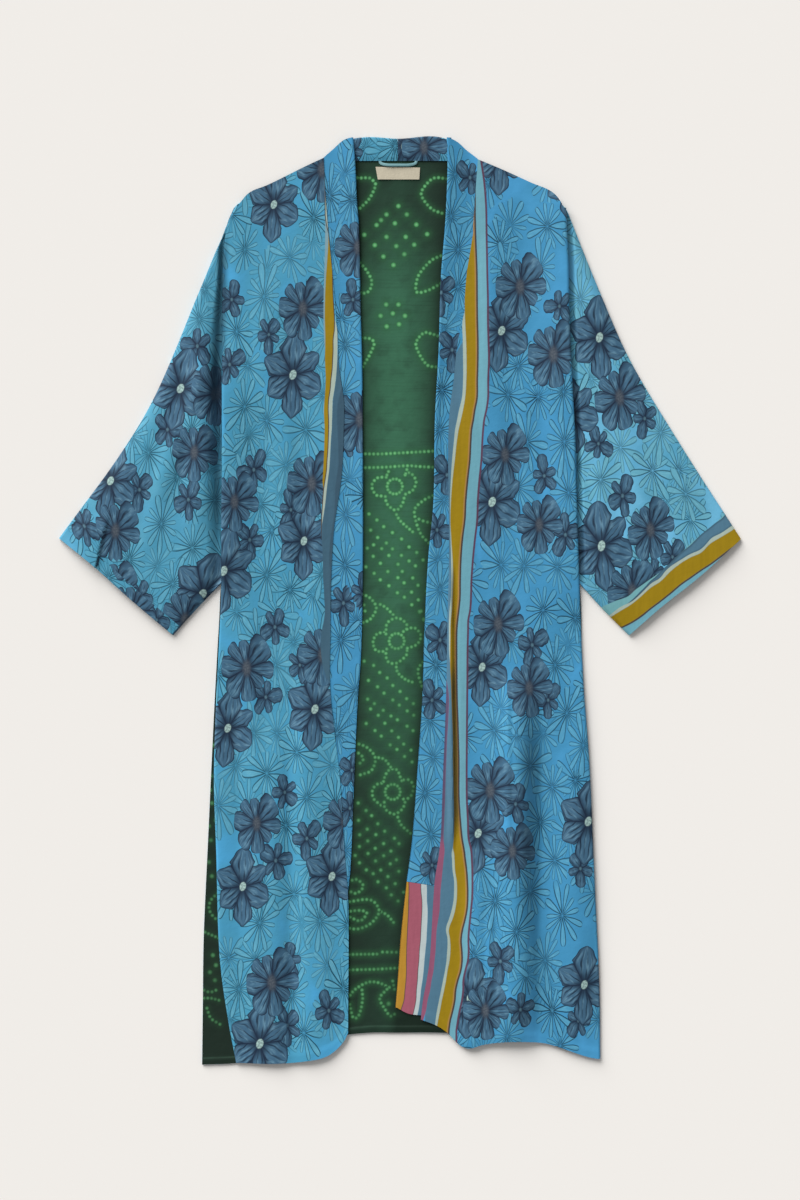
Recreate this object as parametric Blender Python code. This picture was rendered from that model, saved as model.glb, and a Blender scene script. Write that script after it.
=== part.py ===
"""Kimono robe of printed silk, laid open and flat on its back.

Sizes and tables are in millimetres and become metres when a mesh is made.
+X is the viewer's right, +Y runs from the hem to the neck, and +Z is up from
the surface that the robe rests on. Left and right are the viewer's.
"""

from collections import namedtuple

import bmesh
import bpy
import numpy as np

MM = 0.001

# Gap between sewn or stacked pieces, wider across the seams that slant
SEAM_GAP = 0.3
ARMHOLE_GAP = 0.42
BAND_JOINT_GAP = 0.4

# Thickness of each cloth
BACK_THICK = 1.2
LINING_THICK = 1.0
BAND_THICK = 1.5
FRONT_THICK = 1.2
SLEEVE_THICK = 1.6
LOOP_THICK = 1.2
LABEL_THICK = 1.0

# Heights of the upper faces in the stack, from the surface up
LINING_TOP = BACK_THICK + SEAM_GAP + LINING_THICK
BAND_TOP = LINING_TOP + SEAM_GAP + BAND_THICK
FRONT_TOP = BAND_TOP + SEAM_GAP + FRONT_THICK
LABEL_TOP = LINING_TOP + SEAM_GAP + LABEL_THICK
LOOP_TOP = LINING_TOP + SEAM_GAP + LOOP_THICK

# A sleeve is a flattened tube: its folded edges are half rounds of this radius, and
# from them the upper cloth rises to the crown over this share of the sleeve's width
SLEEVE_EDGE_RADIUS = 2.0
SLEEVE_EDGE_TOP = 2 * SLEEVE_EDGE_RADIUS
SLEEVE_CROWN = 2.8
SLEEVE_EDGE_SHARE = 0.16

# Beside the armhole a sleeve stays low under the front's rolled edge: the width of
# that low strip past the lap, and the width over which the sleeve rises from it
SLEEVE_VALLEY_FLOOR = 6.0
SLEEVE_VALLEY = 26.0
SLEEVE_CLEAR = 1.2

# Rolled edges: their radii, and the cosines of the most and the least that they turn
FRONT_ROLL = 4.5
BAND_ROLL = 2.0
NECK_ROLL = 2.2
MOST_ROLL = np.cos(np.radians(174))
LEAST_ROLL = np.cos(np.radians(12))

# A roll runs on by LEAST_TURN past its arc, and one that turns far enough has its
# cloth turned under too
LEAST_TURN = 0.3
TURN_UNDER = 5.0
TURN_STARTS = np.radians(150)
TURN_BLEND = np.radians(20)

# Heights that rolled edges stop at, and where a front steps up onto its sleeve
OVER_SLEEVE = SLEEVE_EDGE_TOP + SLEEVE_CLEAR
OVER_LINING = LINING_TOP + 2 * SEAM_GAP
OVER_SURFACE = 0.8
UNDERARM_Y = 23.0
UNDERARM_BLEND = 30.0

# How far a band is lapped under the front that it is sewn to
LAP = 7.0

# Grid sizes: columns across a piece, rows along it
FRONT_GRID = (15, 34)
BAND_GRID = (4, 30)
BAND_END_GRID = (4, 8)
NECK_GRID = (4, 8)
BACK_COLUMNS = 9
ARMHOLE_ROWS = 12
SIDE_ROWS = 12
SLEEVE_ROWS = 16
EDGE_STEPS = 4
ROLL_STEPS = 4
LOOP_GRID = (2, 15)
LABEL_GRID = (2, 2)
FRONT_CROWDING = 1.3
SLEEVE_CROWDING = 1.5
FINE_STEPS = 600

Edges = namedtuple("Edges", "left right low high")
Fold = namedtuple("Fold", "x0 y0 x1 y1 height left right")
Roll = namedtuple("Roll", "radius floor")

# Each edge is a smooth line through its x, y points
LEFT_FRONT = Edges(
    left=[(-221, -624), (-232, -566), (-243, -485), (-248, -337), (-251, -242), (-248, -134),
          (-244, -53), (-241, 24), (-241, 109), (-240, 190), (-240, 406), (-238, 473),
          (-232, 511), (-221, 533)],
    right=[(-70, -583), (-70, -404), (-75, -337), (-81, -242), (-94, -121), (-94, -40),
           (-93, 29), (-89, 98), (-79, 168), (-76, 230), (-76, 271), (-82, 311), (-85, 369),
           (-92, 449), (-97, 500), (-101, 554), (-103, 597)],
    low=[(-221, -624), (-176, -625), (-132, -622), (-98, -614), (-77, -596), (-70, -583)],
    high=[(-221, 533), (-216, 540), (-208, 549), (-200, 554), (-181, 561), (-153, 574),
          (-130, 585), (-103, 597)],
)
RIGHT_FRONT = Edges(
    left=[(270, -618), (269, -520), (263, -385), (255, -209), (248, -118), (244, -32),
          (242, 23), (238, 149), (236, 230), (232, 298), (228, 406), (227, 460), (225, 500),
          (224, 529)],
    right=[(28, -565), (31, -539), (36, -512), (40, -485), (45, -404), (47, -377), (54, -330),
           (58, -237), (62, -134), (64, -26), (66, 55), (66, 244), (72, 295), (77, 342),
           (85, 385), (90, 441), (97, 487), (101, 541), (105, 595)],
    low=[(270, -618), (258, -616), (230, -607), (202, -598), (176, -595), (143, -595),
         (113, -599), (94, -604), (82, -600), (63, -582), (49, -573), (28, -565)],
    high=[(224, 529), (219, 538), (212, 547), (202, 554), (180, 563), (151, 576), (135, 583),
          (105, 595)],
)

# The band edges that lie open, and the ones lapped under a front
LEFT_BAND_FREE = [(-76, -577), (-74, -485), (-72, -411), (-67, -364), (-63, -272), (-57, -134),
                  (-53, -80), (-50, 28), (-50, 230), (-51, 327), (-53, 398), (-55, 500),
                  (-58, 541), (-60, 588), (-63, 624)]
LEFT_BAND_SEWN = [(-119, -577), (-115, -411), (-108, -272), (-102, -134), (-101, 29),
                  (-96, 98), (-86, 168), (-83, 230), (-83, 271), (-89, 311), (-99, 449),
                  (-104, 500), (-108, 554), (-110, 588)]
RIGHT_BAND_FREE = [(9, -379), (16, -327), (23, -237), (30, -134), (33, -40), (38, 57),
                   (45, 133), (47, 244), (52, 338), (55, 435), (61, 511), (64, 588), (63, 624)]
RIGHT_BAND_SEWN = [(55, -386), (61, -330), (65, -237), (69, -134), (71, -26), (73, 55),
                   (73, 244), (79, 295), (84, 342), (92, 385), (97, 441), (104, 487),
                   (108, 541), (111, 587)]
BAND_END_FREE = [(-6, -549), (-3, -512), (1, -456), (9, -379)]
BAND_END_SEWN = [(34, -560), (39, -526), (47, -470), (52, -410), (55, -386)]
LEFT_BAND_TOP = [(-63, 624), (-74, 621), (-90, 608), (-103, 597), (-110, 588)]
RIGHT_BAND_TOP = [(63, 624), (76, 618), (89, 607), (105, 595), (111, 587)]
LEFT_BAND_FOOT = [(-76, -577), (-119, -577)]
BAND_END_FOOT = [(-6, -549), (10, -557), (34, -560)]

# Back and lining: shoulder line, hem and open side edges, and the two armhole seams
SHOULDERS = [(-207, 543), (-181, 558), (-153, 571), (-130, 582), (-97, 595), (-74, 599),
             (-3, 599), (63, 599), (100, 593), (135, 579), (180, 560), (207, 541)]
BACK_HEM = [(-267, -626), (-221, -624), (-148, -612), (-81, -588), (-40, -583), (-3, -583),
            (54, -583), (135, -588), (216, -597), (265, -611)]
LEFT_ARMHOLE = [(-241, 23), (-235, 48), (-231, 95), (-230, 163), (-230, 271), (-228, 406),
                (-225, 473), (-219, 519), (-209, 541)]
RIGHT_ARMHOLE = [(242, 23), (234, 55), (228, 109), (224, 176), (221, 271), (217, 406),
                 (214, 473), (211, 514), (209, 538)]
LEFT_BACK_SIDE = [(-267, -626), (-266, -539), (-265, -458), (-259, -323), (-250, -134),
                  (-244, -26), (-241, 23)]
RIGHT_BACK_SIDE = [(265, -611), (266, -520), (259, -385), (254, -269), (246, -121), (242, 23)]

# Sleeves: the underarm seam, the folded top edge and the cuff
LEFT_SLEEVE = Edges(
    left=[(-241, 23), (-274, -11), (-306, -47)],
    right=[(-209, 541), (-221, 533), (-227, 520), (-235, 499), (-243, 483), (-256, 452),
           (-270, 419), (-333, 271), (-378, 196), (-460, 84)],
    low=LEFT_ARMHOLE,
    high=[(-306, -47), (-364, 2), (-414, 47), (-460, 84)],
)
RIGHT_SLEEVE = Edges(
    left=[(242, 23), (275, -13), (309, -47)],
    right=[(209, 538), (222, 531), (231, 512), (242, 484), (254, 454), (273, 408), (310, 325),
           (378, 211), (460, 83)],
    low=RIGHT_ARMHOLE,
    high=[(309, -47), (351, -10), (405, 33), (460, 83)],
)

# Neck band, by halves: its rolled rim, its sewn edge and the joining seam near the middle
NECK_SEAM_X = -3.0
NECK_RIM = [(-77, 617), (-63, 623), (-47, 625), (-3, 623), (54, 625), (62, 623), (76, 616)]
NECK_SEWN_Y = 593.0
NECK_END_X = 76.0
NECK_POINTS = 5

# The neck band sinks towards its rim: how far, from where, and over what width
NECK_DIP = 0.6
NECK_DIP_STARTS = 6.0
NECK_DIP_WIDTH = 24.0

# Hanging loop's middle line, its width, and the label's corners
LOOP_LINE = [(-27, 592), (-26, 589), (-19, 586.5), (-3, 586), (15, 586.5), (21, 589), (22, 592)]
LOOP_WIDTH = 4.5
LOOP_ARCH = 1.8
LOOP_TAPER = 0.25
LABEL = Edges(
    left=[(-33, 585), (-30, 568)],
    right=[(27, 584), (26, 568)],
    low=[(-33, 585), (27, 584)],
    high=[(-30, 568), (26, 568)],
)

# Folds: ends of the crest, its height, and how far it reaches to its left and right. A
# fold of negative height is a trough. Its ends slope out over FOLD_TAPER of its length
FOLD_TAPER = 0.25
LEFT_FRONT_FOLDS = [
    Fold(-242, 20, -238, 520, 8.0, 40, 58),
    Fold(-249, -600, -244, 30, 2.0, 30, 40),
    Fold(-185, -640, -196, -60, 2.6, 34, 30),
    Fold(-122, -640, -140, 120, 2.4, 30, 34),
    Fold(-70, -620, -76, -300, 2.6, 40, 10),
    Fold(-160, 40, -150, 470, 1.8, 40, 34),
]
RIGHT_FRONT_FOLDS = [
    Fold(240, 20, 226, 520, 7.5, 58, 40),
    Fold(258, -640, 246, 20, 2.2, 34, 30),
    Fold(154, -680, 158, -60, 8.0, 60, 34),
    Fold(70, -350, 73, 40, 3.2, 12, 5),
    Fold(44, -600, 60, -330, 2.4, 16, 40),
    Fold(140, 60, 132, 480, 1.8, 38, 34),
]
LEFT_SLEEVE_FOLDS = [
    Fold(-404, 112, -414, 46, -1.6, 30, 12),
    Fold(-262, 330, -330, 120, -1.4, 26, 22),
]
RIGHT_SLEEVE_FOLDS = [
    Fold(264, 330, 345, 90, -1.4, 22, 28),
    Fold(300, 300, 410, 110, -1.2, 24, 20),
]

# How far a band's open edge stands off the lining: height at each y
BAND_LIFT = [(-700, 0.0), (-60, 0.0), (150, 2.5), (420, 3.5), (560, 5.0), (640, 6.5)]
BAND_LIFT_POWER = 1.5
LIFT_STARTS = 2 * LAP

# Colour and roughness of each cloth
PRINT_SILK = ((0.085, 0.300, 0.460, 1.0), 0.55)
STRIPED_SILK = ((0.330, 0.110, 0.160, 1.0), 0.55)
DOTTED_LINING = ((0.030, 0.110, 0.045, 1.0), 0.60)
LABEL_WEAVE = ((0.720, 0.680, 0.560, 1.0), 0.80)


def smooth(knots, values, at):
    """Read at each place the smooth line that passes through values at knots."""
    knots = np.asarray(knots, float)
    values = np.asarray(values, float)
    slopes = np.gradient(values, knots, axis=0)
    i = np.clip(np.searchsorted(knots, at, side="right") - 1, 0, len(knots) - 2)
    step = knots[i + 1] - knots[i]
    t = (at - knots[i]) / step
    shape = (-1,) + (1,) * (values.ndim - 1)
    t = t.reshape(shape)
    step = step.reshape(shape)
    start = values[i] * (1 + 2 * t) * (1 - t) ** 2 + slopes[i] * step * t * (1 - t) ** 2
    end = values[i + 1] * t * t * (3 - 2 * t) - slopes[i + 1] * step * t * t * (1 - t)
    return start + end


def curve(points, shares):
    """Points on the smooth line through the given ones, at shares of its length."""
    points = np.array(points, float)
    if len(points) == 2:
        return points[0] + np.outer(shares, points[1] - points[0])
    steps = np.sqrt(np.linalg.norm(np.diff(points, axis=0), axis=1))
    knots = np.concatenate([[0], np.cumsum(steps)])
    fine = smooth(knots, points, np.linspace(0, knots[-1], FINE_STEPS))
    length = np.concatenate([[0], np.cumsum(np.linalg.norm(np.diff(fine, axis=0), axis=1))])
    at = np.asarray(shares) * length[-1]
    return np.stack([np.interp(at, length, fine[:, axis]) for axis in range(2)], axis=1)


def even(count):
    """Shares from 0 to 1, evenly spaced."""
    return np.linspace(0, 1, count)


def patch(left, right, low, high, across, along):
    """Fill four sampled edges: blend left to right and low to high, less the corners."""
    u = across[None, :, None]
    v = along[:, None, None]
    ruled = (1 - v) * low[None] + v * high[None]
    to_left = left[:, None] - ruled[:, :1]
    to_right = right[:, None] - ruled[:, -1:]
    return ruled + (1 - u) * to_left + u * to_right


def smoothstep(x):
    """Rise from 0 to 1 with level ends."""
    x = np.clip(x, 0, 1)
    return x * x * (3 - 2 * x)


def relief(x, y, folds):
    """Height of all folds at x, y: across a crest a squared cosine, and sloping out at its ends."""
    total = np.zeros_like(x)
    for fold in folds:
        start = np.array([fold.x0, fold.y0])
        run = np.array([fold.x1, fold.y1]) - start
        length = np.linalg.norm(run)
        along, side = run / length, np.array([abs(run[1]), -run[0] * np.sign(run[1])]) / length
        s = ((x - start[0]) * along[0] + (y - start[1]) * along[1]) / length
        d = (x - start[0]) * side[0] + (y - start[1]) * side[1]
        reach = np.where(d < 0, fold.left, fold.right)
        across = np.cos(0.5 * np.pi * np.clip(np.abs(d) / reach, 0, 1)) ** 2
        ends = smoothstep(s / FOLD_TAPER) * smoothstep((1 - s) / FOLD_TAPER)
        total += fold.height * across * ends
    return total


def normals(surface):
    """Upward unit normals of a grid of points."""
    across = np.gradient(surface, axis=1)
    along = np.gradient(surface, axis=0)
    normal = np.cross(across, along)
    normal *= np.sign(normal[..., 2:])
    return normal / np.linalg.norm(normal, axis=2, keepdims=True)


def outward(edge, inner):
    """Unit vectors in plan, square to an edge and pointing away from the piece."""
    run = np.gradient(edge, axis=0)
    out = np.stack([run[:, 1], -run[:, 0]], axis=1)
    out /= np.linalg.norm(out, axis=1, keepdims=True)
    side = np.sign(((edge - inner) * out).sum(axis=1, keepdims=True))
    return out * side


def roll_angle(top, floor, radius, thick):
    """Angle that an edge rolls through until the lower of its two faces meets the floor."""
    above = floor - top + radius
    cosine = above / np.where(above > 0, radius - thick, radius)
    return np.arccos(np.clip(cosine, MOST_ROLL, LEAST_ROLL))


def rolled(start, out, angle, radius, thick):
    """Outer and inner columns of a rolled edge: an arc down from start, then the cloth turned under."""
    up = np.array([0, 0, 1.0])
    out = np.column_stack([out, np.zeros(len(out))])
    centre = start - radius * up
    turn = angle[:, None]
    outer, inner = [], []
    for step in range(1, ROLL_STEPS + 1):
        here = turn * step / ROLL_STEPS
        ray = np.sin(here) * out + np.cos(here) * up
        outer.append(centre + radius * ray)
        inner.append(centre + (radius - thick) * ray)
    under = TURN_UNDER * smoothstep((turn - TURN_STARTS) / TURN_BLEND)
    onward = LEAST_TURN * (np.cos(turn) * out - np.sin(turn) * up) - under * out
    outer.append(outer[-1] + onward)
    inner.append(inner[-1] + onward)
    return np.stack(outer[::-1], axis=1), np.stack(inner[::-1], axis=1)


def cloth_object(name, points, faces, finish):
    """Make one closed body of cloth from points in millimetres, faces outward, with its material."""
    mesh = bpy.data.meshes.new(name)
    mesh.from_pydata((np.asarray(points) * MM).tolist(), [], faces)
    shape = bmesh.new()
    shape.from_mesh(mesh)
    bmesh.ops.recalc_face_normals(shape, faces=shape.faces)
    bmesh.ops.triangulate(shape, faces=shape.faces)
    shape.to_mesh(mesh)
    shape.free()
    colour, roughness = finish
    material = bpy.data.materials.new(name + "_finish")
    material.use_nodes = True
    shader = material.node_tree.nodes["Principled BSDF"]
    shader.inputs["Base Color"].default_value = colour
    shader.inputs["Roughness"].default_value = roughness
    mesh.materials.append(material)
    piece = bpy.data.objects.new(name, mesh)
    bpy.context.scene.collection.objects.link(piece)
    return piece


def grid_faces(rows, columns, first=0):
    """Quads of a grid whose points are numbered row by row."""
    number = first + np.arange(rows * columns).reshape(rows, columns)
    corners = [number[:-1, :-1], number[:-1, 1:], number[1:, 1:], number[1:, :-1]]
    return np.stack(corners, axis=-1).reshape(-1, 4).tolist()


def wall(name, upper, lower, finish):
    """Close an upper and a lower grid of points into a wall with a rim of quads."""
    rows, columns = upper.shape[:2]
    count = rows * columns
    number = np.arange(count).reshape(rows, columns)
    loop = np.concatenate([number[0, :-1], number[:-1, -1], number[-1, :0:-1], number[:0:-1, 0]])
    after = np.roll(loop, -1)
    faces = grid_faces(rows, columns) + grid_faces(rows, columns, count)
    faces += np.stack([loop, after, after + count, loop + count], axis=1).tolist()
    points = np.concatenate([upper.reshape(-1, 3), lower.reshape(-1, 3)])
    return cloth_object(name, points, faces, finish)


def panel(name, edges, grid, height, thick, finish, roll=None, crowding=1.0):
    """A wall of cloth inside four edges, its upper face at height(x, y), one edge rolled down."""
    columns, rows = grid
    across = 1 - (1 - even(columns)) ** crowding
    along = even(rows)
    left = curve(edges.left, along)
    right = curve(edges.right, along)
    low = curve(edges.low, across)
    high = curve(edges.high, across)
    if roll:
        out = outward(left, right)
        floor = roll.floor(left[:, 1])
        angle = roll_angle(height(left[:, 0], left[:, 1]), floor, roll.radius, thick)
        left = left - out * roll.radius * np.sin(np.minimum(angle, np.pi / 2))[:, None]
    plan = patch(left, right, low, high, across, along)
    upper = np.dstack([plan, height(plan[..., 0], plan[..., 1])])
    normal = normals(upper)
    if roll:
        normal[:, 0] = (0, 0, 1)
    lower = upper - thick * normal
    if roll:
        angle = roll_angle(upper[:, 0, 2], floor, roll.radius, thick)
        outer, inner = rolled(upper[:, 0], out, angle, roll.radius, thick)
        upper = np.concatenate([outer, upper], axis=1)
        lower = np.concatenate([inner, lower], axis=1)
    return wall(name, upper, lower, finish)


def front(name, edges, folds):
    """A front panel: folds over its base height, its side edge rolled down over the sleeve."""

    def height(x, y):
        return FRONT_TOP + relief(x, y, folds)

    def floor(y):
        share = smoothstep((y - UNDERARM_Y) / UNDERARM_BLEND + 0.5)
        return OVER_LINING + (OVER_SLEEVE - OVER_LINING) * share

    roll = Roll(FRONT_ROLL, floor)
    return panel(name, edges, FRONT_GRID, height, FRONT_THICK, PRINT_SILK, roll, FRONT_CROWDING)


def band(name, edges, grid, finish):
    """A band strip: doubled cloth that rises from its sewn edge to its rolled open edge."""
    low, high = (np.array(side, float) for side in (edges.left, edges.right))
    order = np.argsort(low[:, 1]), np.argsort(high[:, 1])
    lift_y, lift = np.array(BAND_LIFT).T

    def height(x, y):
        free_x = np.interp(y, low[order[0], 1], low[order[0], 0])
        sewn_x = np.interp(y, high[order[1], 1], high[order[1], 0])
        width = np.abs(free_x - sewn_x)
        share = np.clip((np.abs(x - sewn_x) - LIFT_STARTS) / (width - LIFT_STARTS), 0, 1)
        return BAND_TOP + np.interp(y, lift_y, lift) * share ** BAND_LIFT_POWER

    def floor(y):
        return np.full_like(y, OVER_LINING)

    return panel(name, edges, grid, height, BAND_THICK, finish, Roll(BAND_ROLL, floor))


def neck_half(name, start_x, end_x):
    """Half of the neck band: doubled cloth over the back neck, its rim rolled down to the surface."""
    rim_x, rim_y = np.array(NECK_RIM, float).T
    xs = np.linspace(start_x, end_x, NECK_POINTS)
    rim = np.stack([xs, smooth(rim_x, rim_y, xs)], axis=1)
    sewn = np.stack([xs, np.full(NECK_POINTS, NECK_SEWN_Y)], axis=1)
    edges = Edges(rim, sewn, [rim[0], sewn[0]], [rim[-1], sewn[-1]])

    def height(x, y):
        return BAND_TOP - NECK_DIP * smoothstep((y - NECK_SEWN_Y - NECK_DIP_STARTS) / NECK_DIP_WIDTH)

    def floor(y):
        return np.full_like(y, OVER_SURFACE)

    return panel(name, edges, NECK_GRID, height, BAND_THICK, PRINT_SILK, Roll(NECK_ROLL, floor))


def armhole(points, shift):
    """The seam line that a sleeve shares with the back, moved in x by half the gap."""
    return curve(points, even(ARMHOLE_ROWS)) + (shift, 0)


def back(name, top, thick, finish):
    """Back or lining: a flat wall from hem to shoulders, its sides following the armhole seams."""
    half = ARMHOLE_GAP / 2
    below = even(SIDE_ROWS)[:-1]
    left = np.concatenate([curve(LEFT_BACK_SIDE, below), armhole(LEFT_ARMHOLE, half)])
    right = np.concatenate([curve(RIGHT_BACK_SIDE, below), armhole(RIGHT_ARMHOLE, -half)])
    across = even(BACK_COLUMNS)
    along = (left[:, 1] - left[0, 1]) / (left[-1, 1] - left[0, 1])
    low = curve(BACK_HEM, across)
    high = curve(SHOULDERS, across)
    plan = patch(left, right, low, high, across, along)
    upper = np.dstack([plan, np.full(plan.shape[:2], top)])
    return wall(name, upper, upper - (0, 0, thick), finish)


def sleeve(name, edges, folds, side):
    """A sleeve: a flattened tube, flat below, crowned above and low where the front rolls over it."""
    along = even(SLEEVE_ROWS) ** SLEEVE_CROWDING
    across = even(ARMHOLE_ROWS)
    under = curve(edges.left, along)
    top = curve(edges.right, along)
    start = armhole(edges.low, side * ARMHOLE_GAP / 2)
    plan = patch(under, top, start, curve(edges.high, across), across, along)
    seam_x, seam_y = np.array(edges.low, float).T
    inset = SLEEVE_EDGE_RADIUS / np.linalg.norm(plan[:, -1] - plan[:, 0], axis=1)[:, None]
    spot = np.clip(across[None, :], inset, 1 - inset) * (len(across) - 1)
    i = np.clip(spot.astype(int), 0, len(across) - 2)
    row = np.arange(SLEEVE_ROWS)[:, None]
    walls = plan[row, i] + (spot - i)[..., None] * (plan[row, i + 1] - plan[row, i])
    x, y = walls[..., 0], walls[..., 1]
    from_seam = side * (x - np.interp(y, seam_y, seam_x)) - LAP
    valley = smoothstep((from_seam - SLEEVE_VALLEY_FLOOR) / SLEEVE_VALLEY)
    edge = np.minimum(across, 1 - across) / SLEEVE_EDGE_SHARE
    crown = 1 - (1 - np.clip(edge, 0, 1)) ** 2
    rise = (SLEEVE_CROWN * crown + relief(x, y, folds) * crown) * valley

    def loop(depth):
        """Points round each section, depth inside the outer face."""
        radius = SLEEVE_EDGE_RADIUS - depth
        below = np.dstack([walls, np.full(x.shape, depth)])
        above = np.dstack([walls, SLEEVE_EDGE_TOP - depth + rise])
        turn = np.linspace(0, np.pi, EDGE_STEPS + 1)[1:-1]
        ends = []
        for column in (-1, 0):
            centre = np.column_stack([walls[:, column], np.full(SLEEVE_ROWS, SLEEVE_EDGE_RADIUS)])
            reach = plan[:, column] - walls[:, column]
            reach /= np.linalg.norm(reach, axis=1, keepdims=True)
            ray = np.column_stack([reach, np.zeros(SLEEVE_ROWS)])
            arc = [centre + radius * (np.sin(a) * ray - np.cos(a) * np.array([0, 0, 1])) for a in turn]
            ends.append(np.stack(arc, axis=1))
        return np.concatenate([below, ends[0], above[:, ::-1], ends[1][:, ::-1]], axis=1)

    outer, inner = loop(0), loop(SLEEVE_THICK)
    rows, columns = outer.shape[:2]
    count = rows * columns
    number = np.arange(count).reshape(rows, columns)
    after = np.roll(number, -1, axis=1)
    side_quads = np.stack([number[:-1], after[:-1], after[1:], number[1:]], axis=-1).reshape(-1, 4)
    faces = side_quads.tolist() + (side_quads[:, ::-1] + count).tolist()
    for end in (0, -1):
        quads = np.stack([number[end], after[end], after[end] + count, number[end] + count], axis=-1)
        faces += quads.tolist()
    points = np.concatenate([outer.reshape(-1, 3), inner.reshape(-1, 3)])
    return cloth_object(name, points, faces, PRINT_SILK)


def hanging_loop():
    """A narrow strip that leaves the neck seam, runs along it and comes back to it."""
    middle = curve(LOOP_LINE, even(LOOP_GRID[1]))
    run = np.gradient(middle, axis=0)
    square = np.stack([-run[:, 1], run[:, 0]], axis=1)
    square /= np.linalg.norm(square, axis=1, keepdims=True)
    sides = [middle + sign * LOOP_WIDTH / 2 * square for sign in (1, -1)]
    along = even(LOOP_GRID[1])
    arch = LOOP_ARCH * smoothstep(np.minimum(along, 1 - along) / LOOP_TAPER)
    upper = np.stack([np.column_stack([side, LOOP_TOP + arch]) for side in sides], axis=1)
    return wall("hanging_loop", upper, upper - (0, 0, LOOP_THICK), PRINT_SILK)


def neck_label():
    """A plain woven label that lies on the lining."""

    def height(x, y):
        return np.full_like(x, LABEL_TOP)

    return panel("neck_label", LABEL, LABEL_GRID, height, LABEL_THICK, LABEL_WEAVE)


def clear_scene():
    """Remove whatever the scene holds."""
    for thing in list(bpy.data.objects):
        bpy.data.objects.remove(thing)


def build_robe():
    """Make every sewn piece of the robe."""
    back("back_panel", BACK_THICK, BACK_THICK, PRINT_SILK)
    back("back_lining", LINING_TOP, LINING_THICK, DOTTED_LINING)
    front("left_front", LEFT_FRONT, LEFT_FRONT_FOLDS)
    front("right_front", RIGHT_FRONT, RIGHT_FRONT_FOLDS)
    sleeve("left_sleeve", LEFT_SLEEVE, LEFT_SLEEVE_FOLDS, -1)
    sleeve("right_sleeve", RIGHT_SLEEVE, RIGHT_SLEEVE_FOLDS, 1)
    left_edges = Edges(LEFT_BAND_FREE, LEFT_BAND_SEWN, LEFT_BAND_FOOT, LEFT_BAND_TOP)
    band("left_band", left_edges, BAND_GRID, PRINT_SILK)
    foot = [RIGHT_BAND_FREE[0], RIGHT_BAND_SEWN[0]]
    right_edges = Edges(RIGHT_BAND_FREE, RIGHT_BAND_SEWN, foot, RIGHT_BAND_TOP)
    band("right_band", right_edges, BAND_GRID, PRINT_SILK)
    head = [(x, y - BAND_JOINT_GAP) for x, y in foot]
    end_free = BAND_END_FREE[:-1] + head[:1]
    end_sewn = BAND_END_SEWN[:-1] + head[1:]
    band("right_band_end", Edges(end_free, end_sewn, BAND_END_FOOT, head), BAND_END_GRID, STRIPED_SILK)
    neck_half("neck_band_left", -NECK_END_X, NECK_SEAM_X - SEAM_GAP / 2)
    neck_half("neck_band_right", NECK_SEAM_X + SEAM_GAP / 2, NECK_END_X)
    hanging_loop()
    neck_label()


clear_scene()
build_robe()
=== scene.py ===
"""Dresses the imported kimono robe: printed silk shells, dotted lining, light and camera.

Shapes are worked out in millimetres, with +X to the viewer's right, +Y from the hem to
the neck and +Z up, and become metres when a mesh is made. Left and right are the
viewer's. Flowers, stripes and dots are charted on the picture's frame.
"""

import logging
from dataclasses import dataclass, replace
from enum import Enum
from math import cos, pi, radians, sin, tau

import bpy
import numpy as np
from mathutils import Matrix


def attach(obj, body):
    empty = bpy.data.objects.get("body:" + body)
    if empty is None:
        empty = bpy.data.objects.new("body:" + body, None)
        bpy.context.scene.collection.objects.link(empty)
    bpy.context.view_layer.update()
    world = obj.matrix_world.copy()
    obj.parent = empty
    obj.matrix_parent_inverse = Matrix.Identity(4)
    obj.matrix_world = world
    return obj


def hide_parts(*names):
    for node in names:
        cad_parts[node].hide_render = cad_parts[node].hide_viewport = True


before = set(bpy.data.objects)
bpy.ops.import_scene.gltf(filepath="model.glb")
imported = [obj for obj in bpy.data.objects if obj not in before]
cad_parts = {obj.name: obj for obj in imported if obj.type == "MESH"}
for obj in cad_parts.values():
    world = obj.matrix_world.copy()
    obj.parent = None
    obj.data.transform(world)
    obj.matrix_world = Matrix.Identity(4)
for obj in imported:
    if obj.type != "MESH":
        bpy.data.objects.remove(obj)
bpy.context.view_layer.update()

LOG = logging.getLogger("robe")

MM = 0.001
PIXEL = 1.35
PICTURE_CENTRE = (400.0, 600.5)
PICTURE_HEIGHT = 1200

Pair = tuple[float, float]
Line = tuple[Pair, ...]
Triple = tuple[float, float, float]
Colour = Triple
Grid = np.ndarray
Thing = bpy.types.Object
Socket = bpy.types.NodeSocket
Paint = Socket | Colour

# In mm: heights of the cloths' upper faces above the surface, thickness of single and doubled
# cloth, and how far a front laps over a band
LINING_TOP = 2.5
BAND_TOP = 4.2
FRONT_TOP = 5.2
SILK = 0.8
DOUBLED_SILK = 1.3
LAP = 7.0

# The flat layout for baking: its margin, the outer face's size, and the inner face's start and width
LAYOUT_MARGIN = 0.005
LAYOUT_OUTER = (0.84, 0.99)
LAYOUT_INNER = (0.86, 0.15)
SHARP_EDGE = radians(50)

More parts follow.
